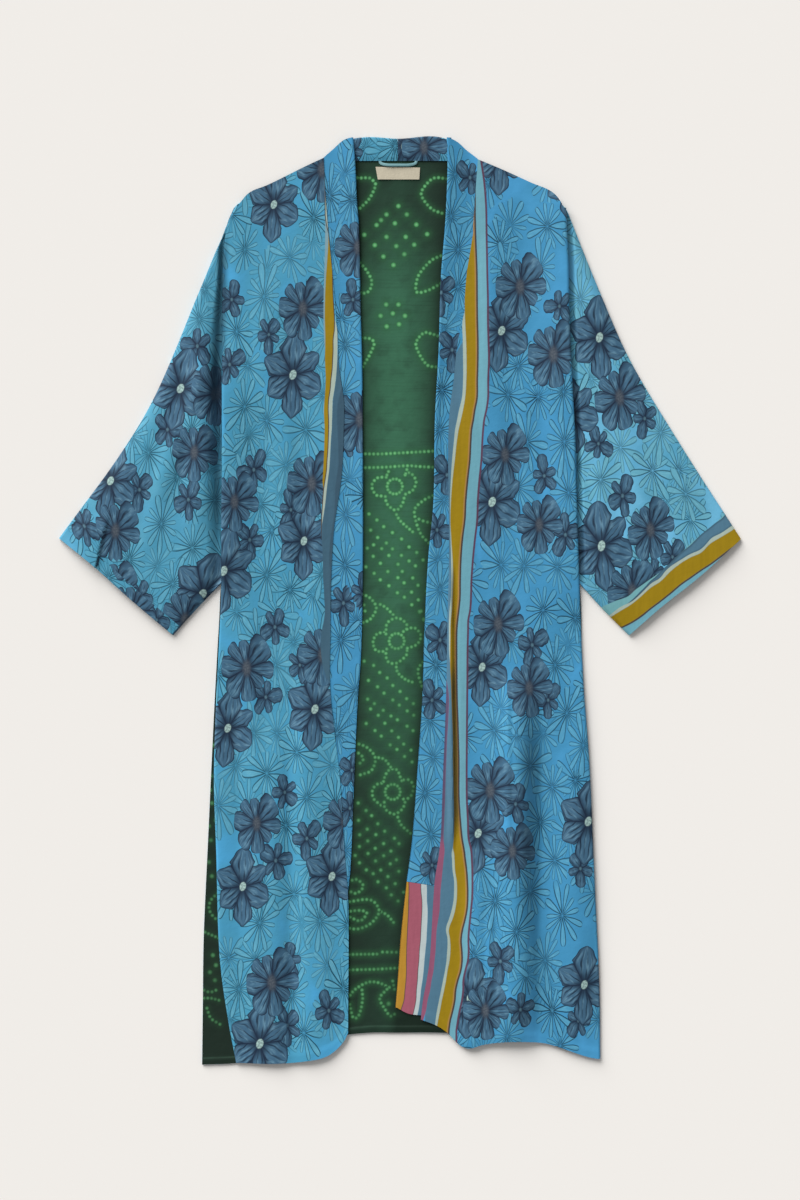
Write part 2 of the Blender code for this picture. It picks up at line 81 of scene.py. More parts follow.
# The outlines that the robe's solids have too, in mm
LEFT_FRONT_SIDE: Line = (
    (-221, -624), (-232, -566), (-243, -485), (-248, -337), (-251, -242), (-248, -134), (-244, -53),
    (-241, 24), (-241, 109), (-240, 190), (-240, 406), (-238, 473), (-232, 511), (-221, 533))
LEFT_FRONT_SEAM: Line = (
    (-70, -583), (-70, -404), (-75, -337), (-81, -242), (-94, -121), (-94, -40), (-93, 29), (-89, 98),
    (-79, 168), (-76, 230), (-76, 271), (-82, 311), (-85, 369), (-92, 449), (-97, 500), (-101, 554),
    (-103, 597))
LEFT_FRONT_HEM: Line = ((-221, -624), (-176, -625), (-132, -622), (-98, -614), (-77, -596), (-70, -583))
LEFT_SHOULDER: Line = (
    (-221, 533), (-216, 540), (-208, 549), (-200, 554), (-181, 561), (-153, 574), (-130, 585),
    (-103, 597))
RIGHT_FRONT_SIDE: Line = (
    (270, -618), (269, -520), (263, -385), (255, -209), (248, -118), (244, -32), (242, 23), (238, 149),
    (236, 230), (232, 298), (228, 406), (227, 460), (225, 500), (224, 529))
RIGHT_FRONT_SEAM: Line = (
    (28, -565), (31, -539), (36, -512), (40, -485), (45, -404), (47, -377), (54, -330), (58, -237),
    (62, -134), (64, -26), (66, 55), (66, 244), (72, 295), (77, 342), (85, 385), (90, 441), (97, 487),
    (101, 541), (105, 595))
RIGHT_FRONT_HEM: Line = (
    (270, -618), (258, -616), (230, -607), (202, -598), (176, -595), (143, -595), (113, -599),
    (94, -604), (82, -600), (63, -582), (49, -573), (28, -565))
RIGHT_SHOULDER: Line = (
    (224, 529), (219, 538), (212, 547), (202, 554), (180, 563), (151, 576), (135, 583), (105, 595))
LEFT_BAND_FREE: Line = (
    (-76, -577), (-74, -485), (-72, -411), (-67, -364), (-63, -272), (-57, -134), (-53, -80), (-50, 28),
    (-50, 230), (-51, 327), (-53, 398), (-55, 500), (-58, 541), (-60, 588), (-63, 624))
LEFT_BAND_SEWN: Line = (
    (-119, -577), (-115, -411), (-108, -272), (-102, -134), (-101, 29), (-96, 98), (-86, 168),
    (-83, 230), (-83, 271), (-89, 311), (-99, 449), (-104, 500), (-108, 554), (-110, 588))
LEFT_BAND_TOP: Line = ((-63, 624), (-74, 621), (-90, 608), (-103, 597), (-110, 588))
LEFT_BAND_FOOT: Line = ((-76, -577), (-119, -577))
RIGHT_BAND_FREE: Line = (
    (9, -379), (16, -327), (23, -237), (30, -134), (33, -40), (38, 57), (45, 133), (47, 244), (52, 338),
    (55, 435), (61, 511), (64, 588), (63, 624))
RIGHT_BAND_SEWN: Line = (
    (55, -386), (61, -330), (65, -237), (69, -134), (71, -26), (73, 55), (73, 244), (79, 295),
    (84, 342), (92, 385), (97, 441), (104, 487), (108, 541), (111, 587))
RIGHT_BAND_TOP: Line = ((63, 624), (76, 618), (89, 607), (105, 595), (111, 587))
RIGHT_BAND_FOOT: Line = ((9, -379), (55, -386))
BAND_END_FREE: Line = ((-6, -549), (-3, -512), (1, -456), (9, -379.4))
BAND_END_SEWN: Line = ((34, -560), (39, -526), (47, -470), (52, -410), (55, -386.4))
BAND_END_FOOT: Line = ((-6, -549), (10, -557), (34, -560))
BAND_END_HEAD: Line = ((9, -379.4), (55, -386.4))
SHOULDERS: Line = (
    (-207, 543), (-181, 558), (-153, 571), (-130, 582), (-97, 595), (-74, 599), (-3, 599), (63, 599),
    (100, 593), (135, 579), (180, 560), (207, 541))
BACK_HEM: Line = (
    (-267, -626), (-221, -624), (-148, -612), (-81, -588), (-40, -583), (-3, -583), (54, -583),
    (135, -588), (216, -597), (265, -611))
LEFT_ARMHOLE: Line = (
    (-241, 23), (-235, 48), (-231, 95), (-230, 163), (-230, 271), (-228, 406), (-225, 473), (-219, 519),
    (-209, 541))
RIGHT_ARMHOLE: Line = (
    (242, 23), (234, 55), (228, 109), (224, 176), (221, 271), (217, 406), (214, 473), (211, 514),
    (209, 538))
LEFT_BACK_SIDE: Line = (
    (-267, -626), (-266, -539), (-265, -458), (-259, -323), (-250, -134), (-244, -26), (-241, 23))
RIGHT_BACK_SIDE: Line = ((265, -611), (266, -520), (259, -385), (254, -269), (246, -121), (242, 23))
NECK_RIM: Line = ((-77, 617), (-63, 623), (-47, 625), (-3, 623), (54, 625), (62, 623), (76, 616))


def on_robe(places: Line) -> Grid:
    """Turn places on the picture into the robe's mm: x from its middle, y up from it, times PIXEL."""
    picture = np.array(places, float).reshape(-1, 2)
    return (picture - PICTURE_CENTRE) * (PIXEL, -PIXEL)


def smooth(knots: Grid, values: Grid, at: Grid) -> Grid:
    """Read the smooth line through values at knots: on each step a cubic with shared end slopes.

    Args:
        knots: rising places of the known values.
        values: the known values, one or more numbers for each knot.
        at: places to read.

    Returns:
        The line's value at each place.
    """
    knots, values = np.asarray(knots, float), np.asarray(values, float)
    slopes = np.gradient(values, knots, axis=0)
    i = np.clip(np.searchsorted(knots, at, side="right") - 1, 0, len(knots) - 2)
    shape = (-1,) + (1,) * (values.ndim - 1)
    step = (knots[i + 1] - knots[i]).reshape(shape)
    t = (at - knots[i]).reshape(shape) / step
    start = values[i] * (1 + 2 * t) * (1 - t) ** 2 + slopes[i] * step * t * (1 - t) ** 2
    end = values[i + 1] * t * t * (3 - 2 * t) - slopes[i + 1] * step * t * t * (1 - t)
    return start + end


def curve(points: Line, shares: Grid) -> Grid:
    """Points at given shares of the length of the smooth line through the given points.

    Args:
        points: x, y pairs that the line passes through.
        shares: places along it, from 0 to 1.

    Returns:
        One x, y row for each share.
    """
    known = np.array(points, float)
    if len(known) == 2:
        return known[0] + np.outer(shares, known[1] - known[0])
    steps = np.sqrt(np.linalg.norm(np.diff(known, axis=0), axis=1))
    knots = np.concatenate([[0], np.cumsum(steps)])
    fine = smooth(knots, known, np.linspace(0, knots[-1], 1500))
    length = np.concatenate([[0], np.cumsum(np.linalg.norm(np.diff(fine, axis=0), axis=1))])
    at = np.asarray(shares) * length[-1]
    return np.stack([np.interp(at, length, fine[:, axis]) for axis in range(2)], axis=1)


def even(count: int) -> Grid:
    """Shares from 0 to 1, evenly spaced."""
    return np.linspace(0, 1, count)


def smoothstep(x: Grid) -> Grid:
    """Rise from 0 to 1 with level ends: 3x² - 2x³ of x held between 0 and 1."""
    x = np.clip(x, 0, 1)
    return x * x * (3 - 2 * x)


def down(y: float, step: float, *xs: float) -> Line:
    """Places on the picture at each x, the first at height y and each next one a step lower."""
    return tuple((x, y + step * i) for i, x in enumerate(xs))


def stand(name: str, data: bpy.types.ID) -> Thing:
    """Put a new object with the given data into the scene."""
    thing = bpy.data.objects.new(name, data)
    bpy.context.scene.collection.objects.link(thing)
    return thing


def outward(edge: Grid, inner: Grid) -> Grid:
    """Unit vectors in plan, square to an edge and pointing away from the inner points."""
    run = np.gradient(edge, axis=0)
    out = np.stack([run[:, 1], -run[:, 0]], axis=1)
    out /= np.linalg.norm(out, axis=1, keepdims=True)
    return out * np.sign(((edge - inner) * out).sum(axis=1, keepdims=True))


def read_line(points: Line, y: Grid) -> Grid:
    """The x of a line at each y, straight between its points."""
    known = np.array(points, float)
    order = np.argsort(known[:, 1])
    return np.interp(y, known[order, 1], known[order, 0])


def fill(low: Grid, high: Grid, left: Grid, right: Grid, across: Grid, along: Grid) -> Grid:
    """Fill four edges with points: blend left to right and low to high, less the corners' own blend.

    Args:
        low: points of the low edge, from left to right.
        high: points of the high edge.
        left: points of the left edge, from low to high.
        right: points of the right edge.
        across: shares from left to right, one for each column.
        along: shares from low to high, rows by columns or rows by 1.

    Returns:
        Plan points, rows by columns by 2.
    """
    u, v = across[None, :, None], along[:, :, None]
    ruled = (1 - v) * low[None] + v * high[None]
    return ruled + (1 - u) * (left[:, None] - ruled[:, :1]) + u * (right[:, None] - ruled[:, -1:])


@dataclass(frozen=True)
class Outline:
    """Four edges of a cloth, in mm: left and right run as low to high does."""

    left: Line
    right: Line
    low: Line
    high: Line

    def grid(self, columns: int, rows: int, crowding: float = 1.0, left: Grid | None = None,
             along: Grid | None = None) -> Grid:
        """Fill the edges with rows of points.

        Args:
            columns: points from left to right.
            rows: points from low to high.
            crowding: over 1 to set columns closer at the right edge.
            left: a left edge to use in place of the outline's own.
            along: shares from low to high to use in place of even ones.

        Returns:
            Plan points, rows by columns by 2.
        """
        across, along = 1 - (1 - even(columns)) ** crowding, even(rows) if along is None else along
        left = curve(self.left, along) if left is None else left
        low, high = curve(self.low, across), curve(self.high, across)
        return fill(low, high, left, curve(self.right, along), across, along[:, None])

    def left_edge(self, rows: int) -> tuple[Grid, Grid]:
        """Even points of the left edge, and unit vectors in plan that point away from the cloth."""
        left = curve(self.left, even(rows))
        return left, outward(left, curve(self.right, even(rows)))

    def area(self) -> float:
        """Area inside the edges, in square metres, from the cross products of its rim's points."""
        share = even(200)
        rim = np.concatenate([curve(self.low, share), curve(self.right, share),
                              curve(self.high, share)[::-1], curve(self.left, share)[::-1]])
        after = np.roll(rim, -1, axis=0)
        return float(abs((rim[:, 0] * after[:, 1] - rim[:, 1] * after[:, 0]).sum()) / 2 * MM * MM)


@dataclass(frozen=True)
class Change:
    """A value that changes smoothly from low to high between two heights on the robe, in mm."""

    start: float
    end: float
    low: float
    high: float

    def at(self, y: Grid) -> Grid:
        """The value at each height."""
        share = smoothstep((y - self.start) / (self.end - self.start))
        return self.low + (self.high - self.low) * share


@dataclass(frozen=True)
class Fold:
    """A ridge between the ends of its crest, in mm, or a trough where its height is below 0.

    Across the crest it falls as a cosine to the power of its foot on that side, so a foot
    of 2 runs out softly and one of 1 ends in a crease.
    """

    x0: float
    y0: float
    x1: float
    y1: float
    height: float
    left: float
    right: float
    left_foot: float = 2.0
    right_foot: float = 2.0
    taper: float = 0.25

    def place(self, x: Grid, y: Grid) -> tuple[Grid, Grid]:
        """How far along the crest each x, y is, from 0 to 1, and how far right of it in mm."""
        run_x, run_y = self.x1 - self.x0, self.y1 - self.y0
        length = float(np.hypot(run_x, run_y))
        along = ((x - self.x0) * run_x + (y - self.y0) * run_y) / length ** 2
        turn = np.sign(run_y) or 1.0
        return along, ((x - self.x0) * run_y - (y - self.y0) * run_x) * turn / length

    def rise(self, x: Grid, y: Grid) -> Grid:
        """Height of this fold at each x, y."""
        s, d = self.place(x, y)
        reach = np.where(d < 0, self.left, self.right)
        foot = np.where(d < 0, self.left_foot, self.right_foot)
        across = np.cos(0.5 * np.pi * np.clip(np.abs(d) / reach, 0, 1)) ** foot
        return self.height * across * smoothstep(s / self.taper) * smoothstep((1 - s) / self.taper)


@dataclass(frozen=True)
class Ripple:
    """Gentle unevenness of cloth that was pressed and laid down: a few long crossing waves."""

    height: float = 0.5
    count: int = 9
    shortest: float = 45.0
    longest: float = 170.0
    seed: int = 5

    def rise(self, x: Grid, y: Grid) -> Grid:
        """Sum of cosines with seeded directions, mostly across the robe, and lengths."""
        draw = np.random.default_rng(self.seed)
        total = np.zeros_like(x)
        for _ in range(self.count):
            length = draw.uniform(self.shortest, self.longest)
            lean = draw.normal(0, 0.45)
            phase = draw.uniform(0, tau)
            total += np.cos(tau / length * (x * np.cos(lean) + y * 0.45 * np.sin(lean)) + phase)
        return self.height * total / np.sqrt(self.count)


@dataclass
class Face:
    """A cloth's upper face: its points and where each lies on the print, rows by columns, in mm."""

    points: Grid
    printed: Grid
    closed: bool = False

    def normals(self) -> Grid:
        """Unit normals that point up over most of the face: the cross product of its two slopes."""
        if self.closed:
            across = np.roll(self.points, -1, axis=1) - np.roll(self.points, 1, axis=1)
        else:
            across = np.gradient(self.points, axis=1)
        normal = np.cross(across, np.gradient(self.points, axis=0))
        normal /= np.maximum(np.linalg.norm(normal, axis=2, keepdims=True), 1e-9)
        return normal

    def facing_up(self, upper: int | None = None) -> "Face":
        """This face, with its columns reversed if its upper ones, or all, would point down."""
        if self.normals()[:, :upper, 2].mean() < 0:
            return Face(self.points[:, ::-1], self.printed[:, ::-1], self.closed)
        return self


@dataclass(frozen=True)
class Roll:
    """A rolled edge, in mm: an arc down, then cloth turned under where it passes a half turn."""

    radius: float
    under: float
    steps: int = 8
    tail: float = 0.4
    least: float = radians(10)
    most: float = radians(172)

    def turn(self, top: Grid, floor: Grid | float) -> Grid:
        """Turn in radians after which a roll from the top height meets the floor height."""
        share = (floor - top + self.radius) / self.radius
        return np.arccos(np.clip(share, cos(self.most), cos(self.least)))

    def inset(self, edge: Grid, out: Grid, top: Grid,
              floor: Grid | float) -> Grid:
        """The line inside an edge where its roll starts, so that the arc reaches out to the edge."""
        return edge - out * self.radius * np.sin(np.minimum(self.turn(top, floor), pi / 2))[:, None]

    def carry(self, face: Face, out: Grid, floor: Grid | float) -> Face:
        """Carry a face on over the roll, from its first column.

        Args:
            face: the flat face, whose first column is where the roll starts.
            out: unit vectors in plan away from the cloth, one for each row.
            floor: the height where the roll ends.

        Returns:
            The face, facing up, with the rolled columns before its own. A point at turn a lies
            at centre + radius (sin a out + cos a up), and on the print radius a further out.
        """
        up = np.array([0, 0, 1.0])
        side = np.column_stack([out, np.zeros(len(out))])
        start, mark = face.points[:, 0], face.printed[:, 0]
        turn = self.turn(start[:, 2], floor)[:, None]
        columns, marks = [], []
        for share in even(self.steps + 1)[1:]:
            here = turn * share
            arc = np.sin(here) * side + np.cos(here) * up
            columns.append(start - self.radius * up + self.radius * arc)
            marks.append(mark + self.radius * here * out)
        tail = self.tail + self.under * smoothstep((turn - radians(150)) / radians(20))
        for share in (0.5, 1.0):
            columns.append(columns[self.steps - 1] - tail * share * side)
            marks.append(marks[self.steps - 1] + tail * share * out)
        points = np.concatenate([np.stack(columns[::-1], axis=1), face.points], axis=1)
        printed = np.concatenate([np.stack(marks[::-1], axis=1), face.printed], axis=1)
        return Face(points, printed).facing_up()


FRONT_ROLL = Roll(3.2, 5.0)
BAND_ROLL = Roll(2.0, 4.0)
NECK_ROLL = Roll(2.2, 0.0)


def grid_corners(rows: int, columns: int) -> Grid:
    """Row and column of each quad's four corners, counter-clockwise, quads by 4 by 2."""
    r, c = np.mgrid[:rows - 1, :columns - 1]
    r, c = r.ravel(), c.ravel()
    corners = [(r, c), (r, c + 1), (r + 1, c + 1), (r + 1, c)]
    return np.stack([np.stack(pair, axis=-1) for pair in corners], axis=1)


def rim_corners(rows: int, columns: int, closed: bool) -> Grid:
    """Row and column of the ends of each rim edge, counter-clockwise, edges by 2 by 2."""
    r, c = np.arange(rows), np.arange(columns)
    low = np.stack([np.zeros_like(c), c], axis=-1)
    high = np.stack([np.full_like(c, rows - 1), c[::-1]], axis=-1)
    sides = [low, high]
    if not closed:
        sides += [np.stack([r, np.full_like(r, columns - 1)], axis=-1),
                  np.stack([r[::-1], np.zeros_like(r)], axis=-1)]
    return np.concatenate([np.stack([side[:-1], side[1:]], axis=1) for side in sides])


@dataclass
class Piece:
    """A sewn mesh and, for each corner of its faces, where it lies on the print."""

    thing: Thing
    corners: Grid

    def mark(self, name: str, values: Grid) -> None:
        """Keep three numbers for each corner of the faces under a name that materials read."""
        layer = self.thing.data.attributes.new(name, "FLOAT_VECTOR", "CORNER")
        layer.data.foreach_set("vector", np.ascontiguousarray(values, np.float32).ravel())

    def shade(self, creases: tuple[Fold, ...]) -> None:
        """Keep painted shade for the silk's creases: each a fold whose height is a share of darkness.
        """
        x, y = self.corners[..., 0], self.corners[..., 1]
        painted_shade = sum((crease.rise(x, y) for crease in creases), np.zeros_like(x))
        # painted shade: the share of darkness in the creases, kept for the silk's material
        self.mark("crease", np.dstack([np.clip(painted_shade, 0, 0.9)] * 3))


def sew(name: str, face: Face, thick: float) -> Piece:
    """Close a face into a wall of cloth: the face, the same face moved in, and a rim between.

    Args:
        name: the new object's name.
        face: the outer face. A closed face is a tube, whose last column repeats the first.
        thick: the wall's thickness in mm.

    Returns:
        The object, linked to the scene, with a flat layout for baking, and its print corners.
    """
    rows, columns = face.points.shape[:2]
    points, printed = face.points, face.printed
    used = columns - 1 if face.closed else columns
    solid = Face(points[:, :used], printed[:, :used], face.closed)
    normal = solid.normals()
    outer = solid.points
    inner = outer - thick * normal
    quads = grid_corners(rows, columns)
    rim = rim_corners(rows, columns, face.closed)
    count = rows * used

    def number(spots: Grid) -> Grid:
        """Number of the point at each row and column."""
        return spots[..., 0] * used + spots[..., 1] % used

    edge = number(rim)
    walls = np.stack([edge[:, 1], edge[:, 0], edge[:, 0] + count, edge[:, 1] + count], axis=1)
    numbers = np.concatenate([number(quads), number(quads)[:, ::-1] + count, walls])
    spots = np.concatenate([quads, quads[:, ::-1], rim[:, (1, 0, 0, 1)]])
    mesh = bpy.data.meshes.new(name)
    vertices = np.concatenate([outer.reshape(-1, 3), inner.reshape(-1, 3)]) * MM
    mesh.from_pydata(vertices.tolist(), [], numbers.tolist())
    corners = printed[spots[..., 0], spots[..., 1]]
    layout = np.stack([spots[..., 1] / (columns - 1), spots[..., 0] / (rows - 1)], axis=-1)
    layout = LAYOUT_MARGIN + layout * LAYOUT_OUTER
    inside = slice(len(quads), 2 * len(quads))
    layout[inside, :, 0] = LAYOUT_INNER[0] + layout[inside, :, 0] * LAYOUT_INNER[1]
    sheet = mesh.uv_layers.new(name="OFBake")
    sheet.data.foreach_set("uv", layout.astype(np.float32).ravel())
    mesh.shade_smooth()
    mesh.set_sharp_from_angle(angle=SHARP_EDGE)
    return Piece(stand(name, mesh), corners)


def add_node(tree: bpy.types.NodeTree, kind: str, inputs: dict[int | str, object],
             **settings: str) -> bpy.types.Node:
    """Add a shader node.

    Args:
        tree: the material's node tree.
        kind: the node's type, without ShaderNode.
        inputs: what goes into each input: an ink or a socket is linked, anything else is set.
        settings: the node's own settings.

    Returns:
        The node.
    """
    node = tree.nodes.new("ShaderNode" + kind)
    for name, value in settings.items():
        setattr(node, name, value)
    for place, value in inputs.items():
        value = getattr(value, "socket", value)
        if isinstance(value, Socket):
            tree.links.new(value, node.inputs[place])
        else:
            node.inputs[place].default_value = value
    return node


class Ink:
    """A number that changes over the cloth: a socket of a node tree that can be reckoned with."""

    def __init__(self, tree: bpy.types.NodeTree, socket: Socket) -> None:
        """Hold the socket and the tree that it is in."""
        self.tree = tree
        self.socket = socket

    def reckon(self, operation: str, *others: "Ink | float") -> "Ink":
        """The result of a Math node's operation on this and other numbers."""
        node = add_node(self.tree, "Math", dict(enumerate((self, *others))), operation=operation)
        return Ink(self.tree, node.outputs[0])

    def __add__(self, other: "Ink | float") -> "Ink":
        """Sum."""
        return self.reckon("ADD", other)

    def __sub__(self, other: "Ink | float") -> "Ink":
        """Difference."""
        return self.reckon("SUBTRACT", other)

    def __mul__(self, other: "Ink | float") -> "Ink":
        """Product."""
        return self.reckon("MULTIPLY", other)

    def __truediv__(self, other: "Ink | float") -> "Ink":
        """Quotient."""
        return self.reckon("DIVIDE", other)

    def __pow__(self, other: float) -> "Ink":
        """Power."""
        return self.reckon("POWER", other)

    def less(self) -> "Ink":
        """One less this."""
        return (self * -1.0) + 1.0

    def sine(self) -> "Ink":
        """Sine of this angle."""
        return self.reckon("SINE")

    def cosine(self) -> "Ink":
        """Cosine of this angle."""
        return self.reckon("COSINE")

    def size(self) -> "Ink":
        """This without its sign."""
        return self.reckon("ABSOLUTE")

    def hold(self, low: float, high: float) -> "Ink":
        """This held between two limits."""
        return self.reckon("MAXIMUM", low).reckon("MINIMUM", high)

    def ramp(self, low: float, high: float) -> "Ink":
        """Smooth rise from 0 where this is low to 1 where it is high, or a fall if low is larger."""
        inputs = {"Value": self, "From Min": low, "From Max": high}
        node = add_node(self.tree, "MapRange", inputs, interpolation_type="SMOOTHSTEP")
        return Ink(self.tree, node.outputs["Result"])


class Dye:
    """A cloth material while it is mixed: its node tree, and the colour reached so far."""

    def __init__(self, name: str, ground: Colour) -> None:
        """Start a Principled material on a plain ground colour."""
        self.material = bpy.data.materials.new(name)
        self.material.use_nodes = True
        self.tree = self.material.node_tree
        self.shader = self.tree.nodes["Principled BSDF"]
        self.place = add_node(self.tree, "TexCoord", {}).outputs["Object"]
        self.colour = add_node(self.tree, "RGB", {}).outputs[0]
        self.colour.default_value = (*ground, 1)

    def split(self, vector: Socket) -> tuple[Ink, Ink, Ink]:
        """The three numbers of a vector."""
        return tuple(Ink(self.tree, socket)
                     for socket in add_node(self.tree, "SeparateXYZ", {0: vector}).outputs)

    def attribute(self, name: str) -> tuple[Ink, Ink, Ink]:
        """Three numbers that the mesh holds for each corner."""
        return self.split(add_node(self.tree, "Attribute", {}, attribute_name=name).outputs["Vector"])

    def vector(self, *parts: Ink) -> Socket:
        """Join three numbers into a vector."""
        return add_node(self.tree, "CombineXYZ", dict(enumerate(parts))).outputs[0]

    def noise(self, scale: float, detail: float = 2.0, at: Socket | None = None,
              stretch: Triple = (1, 1, 1)) -> Ink:
        """Cloudy noise from 0 to 1.

        Args:
            scale: spots to the metre, or to the unit of at.
            detail: octaves of finer noise.
            at: a vector to read it at, or the object's own place.
            stretch: factors on that place's x, y and z.

        Returns:
            The noise.
        """
        spot = add_node(self.tree, "Mapping", {"Vector": at or self.place, "Scale": stretch})
        inputs = {"Vector": spot.outputs[0], "Scale": scale, "Detail": detail}
        return Ink(self.tree, add_node(self.tree, "TexNoise", inputs).outputs[0])

    def blend(self, below: Paint, above: Paint, share: Ink) -> Socket:
        """Mix two colours: share 0 gives the one below and 1 the one above."""
        inputs = {0: share}
        for place, value in ((6, below), (7, above)):
            inputs[place] = (*value, 1) if isinstance(value, tuple) else value
        return add_node(self.tree, "Mix", inputs, data_type="RGBA").outputs[2]

    def paint(self, above: Paint, share: Ink) -> None:
        """Lay a colour over what is there, by its share."""
        self.colour = self.blend(self.colour, above, share)

    def finish(self, cloth: "Cloth") -> bpy.types.Material:
        """Link the colour, set the cloth's sockets, and add its threads and crinkles as bump.

        Args:
            cloth: how the cloth's surface behaves.

        Returns:
            The finished material.
        """
        links, inputs = self.tree.links, self.shader.inputs
        links.new(self.colour, inputs["Base Color"])
        for name, value in (("Roughness", cloth.roughness), ("Specular IOR Level", cloth.specular),
                            ("Sheen Weight", cloth.sheen), ("Sheen Tint", (*cloth.sheen_tint, 1)),
                            ("Sheen Roughness", cloth.sheen_roughness)):
            inputs[name].default_value = value
        threads = self.noise(cloth.threads, 1.0, stretch=(1, 0.25, 1)) + self.noise(
            cloth.threads, 1.0, stretch=(0.25, 1, 1))
        crinkle = self.noise(cloth.crinkles, 3.0)
        crease = self.noise(cloth.creases, 1.5, stretch=(1, 0.22, 1))
        height = (threads * cloth.thread_height + crinkle * cloth.crinkle_height
                  + crease * cloth.crease_height)
        bump = add_node(self.tree, "Bump", {"Strength": 1.0, "Distance": MM, "Height": height})
        links.new(bump.outputs[0], inputs["Normal"])
        return self.material


@dataclass(frozen=True)
class Cloth:
    """How a cloth's surface takes light: its gloss, its nap, and its threads and crinkles in mm."""

    roughness: float = 0.58
    specular: float = 0.17
    sheen: float = 0.07
    sheen_roughness: float = 0.4
    sheen_tint: Colour = (0.6, 0.85, 1.0)
    threads: float = 1400.0
    thread_height: float = 0.05
    crinkles: float = 70.0
    crinkle_height: float = 0.5
    creases: float = 17.0
    crease_height: float = 2.2


SILK_FINISH = Cloth()
LINING_FINISH = Cloth(roughness=0.7, specular=0.15, sheen=0.05, sheen_tint=(0.6, 1.0, 0.7),
                      crinkle_height=0.6, crease_height=1.6)
LABEL_FINISH = Cloth(roughness=0.8, specular=0.2, sheen=0.1, sheen_tint=(1, 1, 1), threads=900.0,
                     thread_height=0.15, crinkle_height=0.2)


class Layer(Enum):
    """The print's layers of flowers, from the ground up."""

    DAISY_FIRST = "daisy_first"
    DAISY_SECOND = "daisy_second"
    DAISY_THIRD = "daisy_third"
    POSY = "posy"
    STAR = "star"
    ROUND = "round"


@dataclass(frozen=True)
class Bloom:
    """One printed flower, in shares of its radius, and its colours.

    A petal's half width t of the way out is width t^rise (1-t)^fall, scaled so that width is
    its largest, with a small wave of size waver. Petals differ in length by uneven and lean
    by sway, and veins fan out between their sides. Outlines fade by up to faint, by the seed.
    """

    radius: float
    petals: int
    width: float
    rise: float
    fall: float
    uneven: float
    phase: float
    line: float
    body: Colour
    light: Colour
    shade: Colour
    edge: Colour
    veins: float = 0.0
    vein_share: float = 0.0
    stretch: Pair = (0.84, 1.14)
    turn: float = 0.0
    rim: float = 0.0
    sway: float = 0.1
    waver: float = 0.05
    cover: float = 1.0
    halo: float = 0.0
    halo_colour: Colour = (0, 0, 0)
    eye: float = 0.0
    eye_stretch: float = 1.0
    eye_colour: Colour = (0, 0, 0)
    eye_fade: float = 0.15
    heart: float = 0.3
    faint: float = 0.0

    def draw(self, dye: Dye, layer: Layer) -> None:
        """Paint this flower wherever the layer's own coordinates fall inside its petals.

        Args:
            dye: the material to paint on.
            layer: the name of the mesh attribute with x, y from the flower's middle and a seed.
        """
        x, y, seed = dye.attribute(layer.value)
        angle = y.reckon("ARCTAN2", x)
        own = seed * tau + self.phase
        bend = (angle * 2.0 + own + self.phase * 2).sine() + (angle * 3.0 + self.phase).sine() * 0.6
        angle = angle + bend * self.sway
        axis = (angle * (self.petals / tau) + 0.5).reckon("FLOOR") * (tau / self.petals)
        swing = angle - axis
        waves = (axis * 2.0 + own).sine() + (axis * 3.0 + self.phase * 2).sine() * 0.6
        plain = (x * x + y * y).reckon("SQRT")
        reach = plain / (waves * self.uneven + 1.0)
        t = (reach * swing.cosine()).hold(0.0, 1.0)
        top = self.rise / (self.rise + self.fall)
        scale = self.width / (top ** self.rise * (1 - top) ** self.fall)
        wave = (t * 17.0 + axis * 5.0).sine() * self.waver + 1.0
        half = (t ** self.rise) * (t.less() ** self.fall) * wave * scale
        side = reach * swing.sine()
        between = (swing.size() * -1.0 + pi / self.petals).sine() * reach
        inside = (half - side.size()).reckon("MINIMUM", between + self.line * 0.35)
        mask = inside.ramp(0.0, self.line * 0.3)
        ratio = side / (half + 0.001)
        streak = dye.noise(3.2, 2.0, dye.vector(axis * 2.0 + ratio * 1.6, t * 0.9, seed))
        colour = dye.blend(self.body, self.light, streak.ramp(0.46, 0.74) * t.ramp(0.05, 0.5))
        if self.halo:
            dye.paint(self.halo_colour, plain.ramp(1.25, 0.85) * self.halo)
        if self.vein_share:
            lines = (ratio * self.veins + streak * 3.0).cosine().ramp(0.35, 0.95)
            fade = t.ramp(1.0, 0.55) * streak.ramp(0.80, 0.35)
            colour = dye.blend(colour, self.shade, lines * fade * self.vein_share)
        colour = dye.blend(colour, self.shade, t.ramp(self.heart, self.heart * 0.15) * 0.85)
        if self.rim:
            colour = dye.blend(colour, self.edge, inside.ramp(self.line * 6.0, 0.0) * self.rim)
        boldness = (seed.less() * -self.faint) + 1.0
        colour = dye.blend(colour, self.edge, inside.ramp(self.line * 1.3, self.line * 0.7) * boldness)
        dye.paint(colour, mask * self.cover)
        if self.eye:
            spot = (x * x + y * y * self.eye_stretch).reckon("SQRT")
            speckle = dye.noise(26.0, 1.0, dye.vector(x, y, seed)).ramp(0.35, 0.62)
            centre = dye.blend(self.shade, self.eye_colour, speckle * 0.45 + 0.55)
            fade = self.eye * self.eye_fade
            dye.paint(centre, spot.ramp(self.eye + fade, self.eye - fade))


